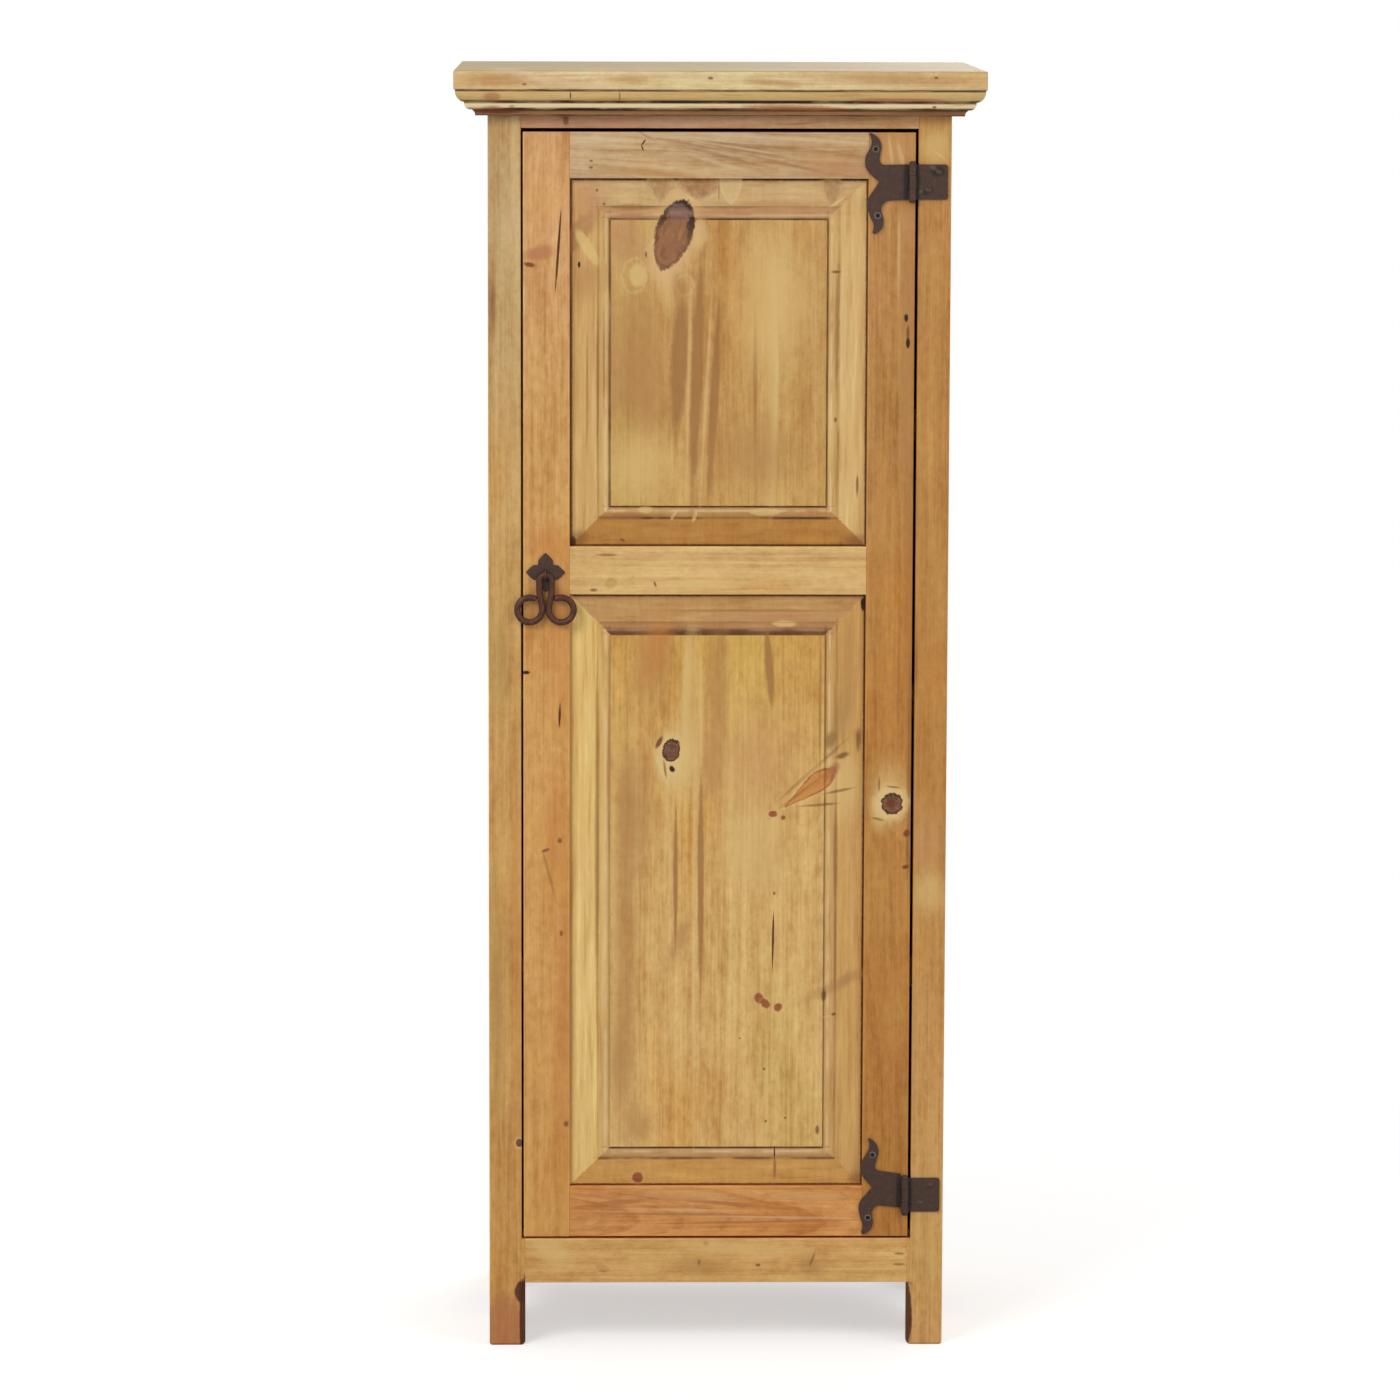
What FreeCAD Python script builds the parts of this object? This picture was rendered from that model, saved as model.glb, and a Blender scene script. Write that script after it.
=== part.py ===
import FreeCAD, Part
import math
import os
import re
import Sketcher

# Storage cabinet of rustic pine: a plain case on four legs, with a moulded cornice and one tall
# framed door that holds two raised panels, wrought-iron hinges and a swinging iron pull.
#
# Millimetres. The origin lies on the floor under the middle of the top. X runs to the right as
# seen from the front, Y runs to the back and Z runs up.

doc = FreeCAD.newDocument("storage_cabinet")
sheet = doc.addObject("Spreadsheet::Sheet", "Sizes")

DRIVING_SIZES = [
    # whole cabinet
    ("overall_width", 613),
    ("overall_depth", 420),
    ("overall_height", 1505),
    ("side_overhang", 38.5),
    ("front_overhang", 38),
    ("rear_overhang", 4),
    ("arris", 0.8),
    ("glue_gap", 0.1),
    # top, three boards side by side
    ("top_thickness", 22),
    ("top_edge_round", 1.6),
    # cornice moulding, heights and how far each member stands out from the case
    ("ovolo_height", 14),
    ("bead_height", 9),
    ("cavetto_height", 7),
    ("cornice_reach", 36.5),
    ("ovolo_foot_reach", 27.5),
    ("bead_reach", 26.5),
    ("bead_foot_reach", 20.5),
    ("cavetto_reach", 18),
    ("cavetto_foot_reach", 14),
    # face frame
    ("frame_thickness", 22),
    ("face_stile_width", 38.1),
    ("face_rail_top_height", 44.8),
    ("apron_height", 53),
    ("leg_clearance", 76),
    ("tenon_length", 25),
    ("tenon_thickness", 8),
    ("tenon_shoulder", 6),
    ("leg_extra", 4),
    ("leg_chamfer", 7),
    ("foot_bevel", 2.6),
    # sides and back, made of tongued boards
    ("side_thickness", 19),
    ("tongue_thickness", 6),
    ("tongue_reach", 6),
    ("back_thickness", 10),
    ("back_tongue_thickness", 3.4),
    ("back_tongue_reach", 5),
    ("back_rail_thickness", 19),
    ("back_rail_height", 60),
    # floor and shelves
    ("shelf_thickness", 18),
    ("shelf_setback", 12),
    ("shelf_below_rail", 110.4),
    ("cleat_size", 20),
    ("floor_stop", 7),
    # door frame
    ("door_gap_latch", 2.5),
    ("door_gap_hinge", 3.5),
    ("door_gap_bottom", 3),
    ("door_gap_top", 4.4),
    ("door_stop_gap", 0.6),
    ("door_stile_width", 54.1),
    ("door_rail_top_height", 53.3),
    ("door_rail_middle_height", 56.1),
    ("door_rail_middle_rise", 764.4),
    ("door_rail_bottom_height", 60),
    ("groove_width", 7),
    ("groove_depth", 10),
    ("groove_setback", 7.5),
    ("door_tenon_length", 26),
    # raised panels, borders measured in from the edge that shows
    ("panel_setback", 0.6),
    ("panel_side_play", 1),
    ("panel_face_play", 0.3),
    ("panel_border", 47.5),
    ("panel_step", 1.4),
    ("panel_bead_width", 12.4),
    ("panel_bead_rise", 2.2),
    ("panel_quirk_depth", 4.4),
    ("panel_quirk_width", 1.4),
    ("panel_bevel_depth", 3.4),
    # hinges
    ("hinge_upper_inset", 56.8),
    ("hinge_lower_inset", 50),
    ("hinge_axis_inset", 3.6),
    ("hinge_axis_standoff", 5),
    ("knuckle_gap", 0.3),
    ("pin_radius", 2.4),
    ("pin_clearance", 0.05),
    ("pin_head_radius", 4.1),
    ("pin_head_height", 3.6),
    ("leaf_thickness", 2.2),
    ("leaf_height", 40.6),
    ("leaf_corner_round", 3),
    ("frame_leaf_reach", 41),
    ("strap_reach", 55),
    ("horn_height", 60),
    ("lower_hinge_horn_above", 62),
    ("lower_hinge_horn_below", 57),
    ("lower_hinge_rise", 5),
    ("end_knuckle_height", 12.5),
    ("screw_radius", 2),
    ("screw_wood_left", 0.6),
    ("screw_head_radius", 4),
    ("nail_radius", 1.6),
    ("nail_length", 17),
    ("nail_head_radius", 3.6),
    ("nail_head_height", 1.2),
    # pull
    ("pull_rise", 26.1),
    ("pull_inset", 26),
    ("plate_reach", 22.8),
    ("plate_thickness", 2.5),
    ("plate_edge", 0.8),
    ("drop_rod", 7.4),
    ("drop_bend_radius", 7.2),
    ("drop_leg_gap", 0.4),
    ("drop_ring_radius", 14.5),
    ("drop_ring_depth", 40.9),
    ("drop_plate_gap", 0.6),
    ("drop_tip_round", 2.4),
    ("drop_axis_drop", 2.5),
    ("staple_wire", 2.4),
    ("staple_gap", 0.5),
    ("clinch_bend", 1.6),
    ("clinch_length", 7),
    # catch
    ("catch_width", 40),
    ("catch_height", 13),
    ("catch_depth", 26),
    ("catch_from_stile", 10),
    ("catch_screw_radius", 1.5),
    ("catch_screw_head", 2.8),
    ("catch_screw_bite", 10),
    ("strike_width", 32),
    ("strike_height", 12),
    ("strike_thickness", 1.2),
    ("strike_screw_length", 12),
    ("catch_play", 0.4),
    # how far a cutting shape runs past the wood
    ("overrun", 5),
]

DERIVED_SIZES = [
    ("cornice_height", "ovolo_height + bead_height + cavetto_height"),
    ("half_carcass", "overall_width / 2 - side_overhang"),
    ("half_inside", "half_carcass - side_thickness"),
    ("half_opening", "half_carcass - face_stile_width"),
    ("half_leg_opening", "half_opening - leg_extra"),
    ("face_front", "front_overhang - overall_depth / 2"),
    ("face_back", "face_front + frame_thickness"),
    ("carcass_back", "overall_depth / 2 - rear_overhang"),
    ("carcass_top", "overall_height - top_thickness"),
    ("back_front", "carcass_back - back_thickness"),
    ("opening_bottom", "leg_clearance + apron_height"),
    ("opening_top", "carcass_top - face_rail_top_height"),
    ("floor_top", "opening_bottom + floor_stop"),
    ("floor_underside", "floor_top - shelf_thickness"),
    ("door_left", "door_gap_latch - half_opening"),
    ("door_right", "half_opening - door_gap_hinge"),
    ("door_width", "door_right - door_left"),
    ("door_bottom", "opening_bottom + door_gap_bottom"),
    ("door_top", "opening_top - door_gap_top"),
    ("door_height", "door_top - door_bottom"),
    ("door_thickness", "frame_thickness - door_stop_gap"),
    ("door_back", "face_front + door_thickness"),
    ("door_daylight", "door_width - 2 * door_stile_width"),
    ("groove_back", "groove_setback + groove_width"),
    ("upper_panel_bottom", "door_bottom + door_rail_middle_rise + door_rail_middle_height"),
    ("upper_panel_top", "door_top - door_rail_top_height"),
    ("lower_panel_bottom", "door_bottom + door_rail_bottom_height"),
    ("lower_panel_top", "door_bottom + door_rail_middle_rise"),
    ("tongue_front", "groove_setback + panel_face_play"),
    ("panel_back", "groove_back - panel_face_play"),
    ("panel_lip", "groove_depth - panel_side_play"),
    ("hinge_upper_height", "door_top - hinge_upper_inset"),
    ("hinge_lower_height", "door_bottom + hinge_lower_inset"),
    ("hinge_axis_x", "door_right - hinge_axis_inset"),
    ("hinge_axis_y", "face_front - hinge_axis_standoff"),
    ("knuckle_radius", "hinge_axis_standoff - knuckle_gap"),
    ("leaf_front", "hinge_axis_standoff - leaf_thickness"),
    ("screw_length", "leaf_thickness + groove_setback - screw_wood_left"),
    ("pull_x", "door_left + pull_inset"),
    ("pull_axis_y", "face_front - plate_thickness - drop_plate_gap - drop_rod / 2"),
    ("pull_height", "lower_panel_top + pull_rise"),
    ("pull_axis_z", "pull_height - drop_axis_drop"),
    ("staple_radius", "drop_rod / 2 + staple_gap + staple_wire / 2"),
    ("shelf_middle_top", "lower_panel_top - shelf_below_rail"),
    ("shelf_lower_top", "(floor_top + shelf_middle_top) / 2"),
    ("shelf_upper_top", "(opening_top + shelf_middle_top) / 2"),
    ("shelf_front", "face_back + shelf_setback"),
]

# Places along an outline, as shares of the size that the outline follows, with the angle in
# degrees that the edge turns through on its way to the next point (0 is a straight edge).
# The two forged horns of a door leaf: X shares of strap_reach, Z shares of horn_height.
UPPER_HORN_SHARES = [
    (-0.600, 0.330, -88),
    (-0.695, 0.450, 0),
    (-0.655, 0.668, 75),
    (-0.890, 0.940, 90),
    (-0.909, 0.912, -38),
    (-0.866, 0.735, -20),
    (-0.936, 0.585, 34),
    (-1.000, 0.388, 46),
    (-0.890, 0.147, 0),
]
LOWER_HORN_SHARES = [
    (-0.709, 0.000, -12),
    (-0.886, -0.250, 40),
    (-0.949, -0.450, 22),
    (-0.826, -0.783, -50),
    (-0.833, -0.958, 90),
    (-0.786, -1.007, 30),
    (-0.640, -0.900, 30),
    (-0.607, -0.717, 0),
    (-0.658, -0.550, -76),
    (-0.512, -0.363, 0),
]
HORN_SCREW_SHARES = [(-0.778, 0.630), (-0.726, -0.647)]
FRAME_NAIL_SHARES = [(0.75, 0.27), (0.45, -0.25)]
# The smith's two hinges are not alike: where each stands, how far its horns reach above and below
# the strap, how far the strap sits above the middle of the barrel, and its tilt in degrees.
HINGES = {
    "upper": ("hinge_upper_height", "horn_height", "horn_height", "0", 0),
    "lower": ("hinge_lower_height", "lower_hinge_horn_above", "lower_hinge_horn_below",
              "lower_hinge_rise", 6),
}
# One lobe of the pull's plate, from its right notch to its tip, as shares of plate_reach.
LOBE_SHARES = [(0.385, 0.385, 0), (0.370, 0.620, 15), (0.0, 1.0, 15), (-0.370, 0.620, 0)]
# Depth below the rod's bend, as a share of drop_ring_depth, from which the two legs lean together.
LEAN_SHARE = 0.42
RING_END_DEGREES = 122


def fill_sheet():
    """Write the driving sizes as plain numbers, and under them the sizes that follow from them."""
    row = 0
    for name, number in DRIVING_SIZES:
        row += 1
        sheet.set("A%d" % row, name)
        sheet.set("B%d" % row, str(number))
        sheet.setAlias("B%d" % row, name)
    for name, formula in DERIVED_SIZES:
        row += 1
        sheet.set("A%d" % row, name)
        sheet.set("B%d" % row, "=" + formula)
        sheet.setAlias("B%d" % row, name)
    doc.recompute()


fill_sheet()
ALIASES = set(name for name, content in DRIVING_SIZES + DERIVED_SIZES)
PARTS = []


def formula(text):
    """The text with each size name pointed at its cell of the sheet."""
    return re.sub(r"[a-z][a-z_]+", lambda word: "Sizes." + word.group() if word.group() in ALIASES
                  else word.group(), text)


def size(text):
    """The present value of a size or of a sum of sizes."""
    return float(sheet.evalExpression(text))


def new_body(label, x="0", y="0", z="0"):
    """A body for one physical piece, whose own corner or axis stands at x, y, z."""
    body = doc.addObject("PartDesign::Body", label)
    body.Label = label
    for axis, place in (("x", x), ("y", y), ("z", z)):
        if place != "0":
            body.setExpression("Placement.Base." + axis, formula(place))
    PARTS.append(body)
    return body


def new_sketch(body, name, role, offset="0"):
    """A sketch on one of the body's origin planes, moved along the plane's normal by offset."""
    sketch = body.newObject("Sketcher::SketchObject", body.Label + "_" + name)
    for plane in body.Origin.OriginFeatures:
        if plane.Role == role:
            sketch.AttachmentSupport = [(plane, "")]
    sketch.MapMode = "FlatFace"
    if offset != "0":
        sketch.setExpression("AttachmentOffset.Base.z", formula(offset))
    return sketch


def arc_through(start, end, degrees):
    """The arc from start to end that turns through the given angle, positive to the left."""
    turn = math.radians(degrees)
    chord_x = end[0] - start[0]
    chord_y = end[1] - start[1]
    rise = 1 / (2 * math.tan(turn / 2))
    centre_x = (start[0] + end[0]) / 2 - chord_y * rise
    centre_y = (start[1] + end[1]) / 2 + chord_x * rise
    radius = math.hypot(start[0] - centre_x, start[1] - centre_y)
    first = math.atan2(start[1] - centre_y, start[0] - centre_x)
    last = first + turn
    if turn < 0:
        first, last = last, first
    circle = Part.Circle(FreeCAD.Vector(centre_x, centre_y, 0), FreeCAD.Vector(0, 0, 1), radius)
    return Part.ArcOfCircle(circle, first, last)


class Ties:
    """Constraints of a sketch, collected first and then added together with their sizes."""

    def __init__(self, sketch):
        self.sketch = sketch
        self.constraints = []
        self.formulas = []

    def add(self, constraint, place=None):
        """Keep one constraint, and the size that it follows if it has one."""
        self.constraints.append(constraint)
        self.formulas.append(place)

    def hold(self, element, point, place):
        """Tie one point of the sketch to its distances from the sketch's origin."""
        for kind, distance in zip(("DistanceX", "DistanceY"), place):
            self.add(Sketcher.Constraint(kind, -1, 1, element, point, size(distance)), distance)

    def finish(self):
        """Add the constraints and point the driven ones at the sheet."""
        first = self.sketch.ConstraintCount
        self.sketch.addConstraint(self.constraints)
        for number, place in enumerate(self.formulas):
            if place is not None:
                self.sketch.setExpression("Constraints[%d]" % (first + number), formula(place))


def outline(sketch, points, closed=True):
    """Draw straight edges and arcs through points of (u, v) or (u, v, degrees to the next)."""
    corners = [(size(point[0]), size(point[1])) for point in points]
    turns = [point[2] if len(point) > 2 else 0 for point in points]
    count = len(points) if closed else len(points) - 1
    first_element = sketch.GeometryCount
    edges = []
    ends = []
    ties = Ties(sketch)
    for number in range(count):
        start = corners[number]
        end = corners[(number + 1) % len(points)]
        element = first_element + number
        if turns[number]:
            edges.append(arc_through(start, end, turns[number]))
            span = abs(math.radians(turns[number]))
            ties.add(Sketcher.Constraint("Angle", element, span))
            ends.append((element, 1, 2) if turns[number] > 0 else (element, 2, 1))
        else:
            edges.append(Part.LineSegment(FreeCAD.Vector(*start, 0), FreeCAD.Vector(*end, 0)))
            ends.append((element, 1, 2))
    sketch.addGeometry(edges, False)
    for number in range(count):
        element, first, last = ends[number]
        following = ends[(number + 1) % len(ends)]
        ties.hold(element, first, points[number])
        if closed or number < count - 1:
            ties.add(Sketcher.Constraint("Coincident", element, last, following[0], following[1]))
        else:
            ties.hold(element, last, points[-1])
    ties.finish()


def circle(sketch, u, v, radius):
    """Draw a circle of the given radius about u, v."""
    shape = Part.Circle(FreeCAD.Vector(size(u), size(v), 0), FreeCAD.Vector(0, 0, 1), size(radius))
    element = sketch.addGeometry(shape, False)
    ties = Ties(sketch)
    ties.add(Sketcher.Constraint("Radius", element, size(radius)), radius)
    ties.hold(element, 3, (u, v))
    ties.finish()


def rectangle(u_start, u_end, v_start, v_end):
    """Corners of a rectangle for outline, counter-clockwise."""
    return [(u_start, v_start), (u_end, v_start), (u_end, v_end), (u_start, v_end)]


def pad(body, sketch, length, both_ways=False, reversed_way=False):
    """Raise the sketch into wood or iron."""
    feature = body.newObject("PartDesign::Pad", sketch.Name + "_pad")
    feature.Profile = sketch
    feature.setExpression("Length", formula(length))
    feature.Reversed = reversed_way
    if both_ways:
        feature.SideType = "Symmetric"
    doc.recompute()
    return feature


def pocket(body, sketch, length, both_ways=False, reversed_way=True):
    """Cut the sketch out of the body, and make sure that it took something away."""
    before = body.Shape.Volume
    feature = body.newObject("PartDesign::Pocket", sketch.Name + "_cut")
    feature.Profile = sketch
    feature.setExpression("Length", formula(length))
    feature.Reversed = reversed_way
    if both_ways:
        feature.SideType = "Symmetric"
    doc.recompute()
    if not body.Shape.Volume < before:
        raise ValueError("the cut took nothing away: " + sketch.Name)
    return feature


def add_block(body, name, x, y, z):
    """Add a block between the given pairs of X, Y and Z."""
    sketch = new_sketch(body, name, "XY_Plane", z[0])
    outline(sketch, rectangle(x[0], x[1], y[0], y[1]))
    return pad(body, sketch, "(%s) - (%s)" % (z[1], z[0]))


def cut_block(body, name, x, y, z):
    """Cut a block between the given pairs of X, Y and Z."""
    sketch = new_sketch(body, name, "XY_Plane", z[0])
    outline(sketch, rectangle(x[0], x[1], y[0], y[1]))
    return pocket(body, sketch, "(%s) - (%s)" % (z[1], z[0]))


def chosen_edges(feature, test):
    """Names of the feature's edges whose bounding box passes the test."""
    names = []
    for number, edge in enumerate(feature.Shape.Edges, 1):
        if test(edge.BoundBox):
            names.append("Edge%d" % number)
    return names


def chamfer(body, feature, amount, test):
    """Bevel the chosen edges of a feature."""
    bevel = body.newObject("PartDesign::Chamfer", feature.Name + "_chamfer")
    bevel.Base = (feature, chosen_edges(feature, test))
    bevel.setExpression("Size", formula(amount))
    doc.recompute()
    return bevel


def fillet(body, feature, amount, test):
    """Round the chosen edges of a feature."""
    rounding = body.newObject("PartDesign::Fillet", feature.Name + "_round")
    rounding.Base = (feature, chosen_edges(feature, test))
    rounding.setExpression("Radius", formula(amount))
    doc.recompute()
    return rounding


def mirror(body, feature, role):
    """Repeat a feature on the other side of one of the body's origin planes."""
    repeat = body.newObject("PartDesign::Mirrored", feature.Name + "_mirror")
    repeat.Originals = [feature]
    for plane in body.Origin.OriginFeatures:
        if plane.Role == role:
            repeat.MirrorPlane = (plane, [""])
    body.Tip = repeat
    doc.recompute()
    return repeat


def runs_along(axis):
    """Test for the straight edges of a board that run along X, Y or Z."""
    def test(box):
        lengths = {"x": box.XLength, "y": box.YLength, "z": box.ZLength}
        longest = lengths.pop(axis)
        return longest > 1000 * max(lengths.values())
    return test


def board(label, x, y, z, grain, eased=True):
    """A planed board between the given pairs of places, its long edges along the grain eased."""
    body = new_body(label, x[0], y[0], z[0])
    spans = ["(%s) - (%s)" % (pair[1], pair[0]) for pair in (x, y, z)]
    feature = add_block(body, "board", ("0", spans[0]), ("0", spans[1]), ("0", spans[2]))
    if eased:
        chamfer(body, feature, "arris", runs_along(grain))
    return body


def tongued_board(label, x, y, z, across, tongue, groove, thick, reach, thickness):
    """A vertical board with a tongue on its far long edge and a groove in its near one."""
    body = board(label, x, y, z, "z")
    width = "(%s) - (%s)" % ((x[1], x[0]) if across == "x" else (y[1], y[0]))
    height = "(%s) - (%s)" % (z[1], z[0])
    low = "(%s - %s) / 2" % (thickness, thick)
    high = "(%s + %s) / 2" % (thickness, thick)
    if tongue:
        long_way = ("%s - arris" % width, "%s + %s - glue_gap" % (width, reach))
        short_way = (low + " + glue_gap", high + " - glue_gap")
        pair = (long_way, short_way) if across == "x" else (short_way, long_way)
        add_block(body, "tongue", pair[0], pair[1], ("0", height))
    if groove:
        long_way = ("-overrun", reach)
        short_way = (low, high)
        pair = (long_way, short_way) if across == "x" else (short_way, long_way)
        cut_block(body, "groove", pair[0], pair[1], ("0", height))
    return body


def make_top():
    """Three boards glued edge to edge, the outer edges slightly rounded."""
    third = "overall_depth / 3"
    for number, name in enumerate(("front", "middle", "rear")):
        start = "%d * %s - overall_depth / 2" % (number, third)
        body = new_body("top_board_" + name, "-overall_width / 2", start, "carcass_top")
        block = add_block(body, "board", ("0", "overall_width"), ("0", third), ("0", "top_thickness"))
        width = size("overall_width")
        depth = size(third)
        touch = size("glue_gap")

        def outer(box):
            at_end = box.XMax < touch or box.XMin > width - touch
            at_front = name == "front" and box.YMax < touch
            at_rear = name == "rear" and box.YMin > depth - touch
            return (at_end and box.YLength > depth / 2) or at_front or at_rear
        fillet(body, block, "top_edge_round", outer)


def cornice_profile(out, up):
    """Section of the moulding, drawn outwards from the case and upwards from its lowest edge."""
    bead_top = "cavetto_height + bead_height"
    return [
        (out("0"), "0"),
        (out("cavetto_foot_reach"), "0", -60 * up),
        (out("cavetto_reach"), "cavetto_height"),
        (out("bead_foot_reach"), "cavetto_height", 80 * up),
        (out("bead_reach"), bead_top),
        (out("ovolo_foot_reach"), bead_top, 80 * up),
        (out("cornice_reach"), "cornice_height"),
        (out("0"), "cornice_height"),
    ]


def make_cornice():
    """Front length and two returns under the top, mitred where they meet."""
    foot = "carcass_top - cornice_height"
    half = "half_carcass + cornice_reach"
    mitre = "cornice_reach + overrun"

    front = new_body("cornice_front", "0", "face_front", foot)
    sketch = new_sketch(front, "section", "YZ_Plane")
    outline(sketch, cornice_profile(lambda reach: "-(%s)" % reach, -1))
    pad(front, sketch, "2 * (%s)" % half, both_ways=True)
    for side in (1, -1):
        cutter = new_sketch(front, "mitre_%s" % ("right" if side > 0 else "left"), "XY_Plane")
        outline(cutter, [("%d * half_carcass" % side, "0"),
                         ("%d * (half_carcass + %s)" % (side, mitre), "-(%s)" % mitre),
                         ("%d * (half_carcass + %s)" % (side, mitre), "0")])
        pocket(front, cutter, "3 * cornice_height", both_ways=True)

    for side, name in ((-1, "left"), (1, "right")):
        body = new_body("cornice_" + name, "%d * half_carcass" % side, "face_front", foot)
        sketch = new_sketch(body, "section", "XZ_Plane", "cornice_reach")
        outline(sketch, cornice_profile(lambda reach: "%d * (%s)" % (side, reach), side))
        pad(body, sketch, "carcass_back - face_front + cornice_reach", reversed_way=True)
        cutter = new_sketch(body, "mitre", "XY_Plane")
        outline(cutter, [("0", "0"),
                         ("0", "-(%s)" % mitre),
                         ("%d * (%s)" % (side, mitre), "-(%s)" % mitre)])
        pocket(body, cutter, "3 * cornice_height", both_ways=True)


def tenoned_rail(label, x, y, z, shoulder, reach, front, thick):
    """A rail with a tenon at each end, set in from the rail's edges by the shoulder."""
    body = board(label, x, y, z, "x")
    length = "(%s) - (%s)" % (x[1], x[0])
    height = "(%s) - (%s)" % (z[1], z[0])
    add_block(body, "tenons", ("-(%s)" % reach, "%s + %s" % (length, reach)),
              ("%s + glue_gap" % front, "%s + %s - glue_gap" % (front, thick)),
              (shoulder, "%s - %s" % (height, shoulder)))
    return body


def cut_mortise(body, name, side, edge, reach, front, thick, z, shoulder):
    """Cut the mortise for a rail between z[0] and z[1] in a stile whose inner edge faces side."""
    x = ("%s - %s - glue_gap" % (edge, reach), edge + " + overrun") if side > 0 else \
        (edge + " - overrun", "%s + %s + glue_gap" % (edge, reach))
    cut_block(body, name, x, (front, "%s + %s" % (front, thick)),
              ("%s + %s - glue_gap" % (z[0], shoulder), "%s - %s + glue_gap" % (z[1], shoulder)))


def make_face_frame():
    """Two stiles that stand on the floor as front legs, a top rail and an apron."""
    tenon_front = "(frame_thickness - tenon_thickness) / 2"
    y = ("face_front", "face_back")
    for side, name in ((1, "left"), (-1, "right")):
        outer = "-half_carcass" if side > 0 else "half_opening"
        inner = "-half_opening" if side > 0 else "half_carcass"
        body = board("face_stile_" + name, (outer, inner), y, ("0", "carcass_top"), "z", eased=False)
        upper_edge, edge = ("face_stile_width", "face_stile_width + leg_extra") if side > 0 else \
            ("0", "-leg_extra")
        wider = sorted((upper_edge, edge), key=size)
        leg = add_block(body, "leg", wider, ("0", "frame_thickness"), ("0", "opening_bottom"))
        touch = size("glue_gap")
        foot = chamfer(body, leg, "foot_bevel", lambda box: box.ZMax < touch)
        chamfer(body, foot, "arris", runs_along("z"))
        for joint, inner_edge, z in (("apron", edge, ("leg_clearance", "opening_bottom")),
                                     ("top", upper_edge, ("opening_top", "carcass_top"))):
            cut_mortise(body, "mortise_" + joint, side, inner_edge, "tenon_length",
                        tenon_front, "tenon_thickness", z, "tenon_shoulder")
        corner = new_sketch(body, "leg_corner", "XY_Plane", "-overrun")
        outline(corner, [("%s - %d * leg_chamfer" % (edge, side), "0"),
                         ("%s - %d * leg_chamfer" % (edge, side), "-overrun"),
                         ("%s + %d * overrun" % (edge, side), "-overrun"),
                         ("%s + %d * overrun" % (edge, side), "leg_chamfer"),
                         (edge, "leg_chamfer")])
        pocket(body, corner, "leg_clearance + overrun")
        if name == "right":
            bore_stile(body, "hinge_axis_x - half_opening", "0", frame_nail_places, "nail")
    tenoned_rail("face_rail_top", ("-half_opening", "half_opening"), y,
                 ("opening_top", "carcass_top"), "tenon_shoulder", "tenon_length",
                 tenon_front, "tenon_thickness")
    tenoned_rail("face_rail_bottom", ("-half_leg_opening", "half_leg_opening"), y,
                 ("leg_clearance", "opening_bottom"), "tenon_shoulder", "tenon_length",
                 tenon_front, "tenon_thickness")


def make_sides():
    """Each side is three upright planks; the front and rear plank reach the floor."""
    third = "(carcass_back - face_back) / 3"
    for side, hand in ((-1, "left"), (1, "right")):
        x = ("-half_carcass", "-half_inside") if side < 0 else ("half_inside", "half_carcass")
        for number, name in enumerate(("front", "middle", "rear")):
            y = ("face_back + %d * %s" % (number, third), "face_back + %d * %s" % (number + 1, third))
            foot = "leg_clearance" if name == "middle" else "0"
            tongued_board("side_%s_%s_plank" % (hand, name), x, y, (foot, "carcass_top"), "y",
                          name != "rear", name != "front", "tongue_thickness", "tongue_reach",
                          "side_thickness")


def make_back():
    """Five tongued boards between the sides, nailed to a rail at the top and one at the foot."""
    fifth = "2 * half_inside / 5"
    for number in range(5):
        x = ("%d * %s - half_inside" % (number, fifth), "%d * %s - half_inside" % (number + 1, fifth))
        tongued_board("back_board_%d" % (number + 1), x, ("back_front", "carcass_back"),
                      ("leg_clearance", "carcass_top"), "x", number < 4, number > 0,
                      "back_tongue_thickness", "back_tongue_reach", "back_thickness")
    y = ("back_front - back_rail_thickness", "back_front")
    x = ("-half_inside", "half_inside")
    board("back_rail_top", x, y, ("carcass_top - back_rail_height", "carcass_top"), "x")
    board("back_rail_bottom", x, y, ("leg_clearance", "floor_underside"), "x")


def make_shelves():
    """Floor board and three shelves, each resting on a cleat at the left and at the right."""
    inside = ("-half_inside", "half_inside")
    cleats = (("left", ("-half_inside", "cleat_size - half_inside")),
              ("right", ("half_inside - cleat_size", "half_inside")))
    board("floor_board", inside, ("face_back", "back_front"), ("floor_underside", "floor_top"), "x")
    rail_front = "back_front - back_rail_thickness"
    for hand, x in cleats:
        board("floor_cleat_" + hand, x, ("face_back", rail_front),
              ("floor_underside - cleat_size", "floor_underside"), "y")
    for name in ("lower", "middle", "upper"):
        top = "shelf_%s_top" % name
        underside = top + " - shelf_thickness"
        board("shelf_" + name, inside, ("shelf_front", "back_front"), (underside, top), "x")
        for hand, x in cleats:
            board("shelf_cleat_%s_%s" % (name, hand), x, ("shelf_front", "back_front"),
                  (underside + " - cleat_size", underside), "y")


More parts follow.
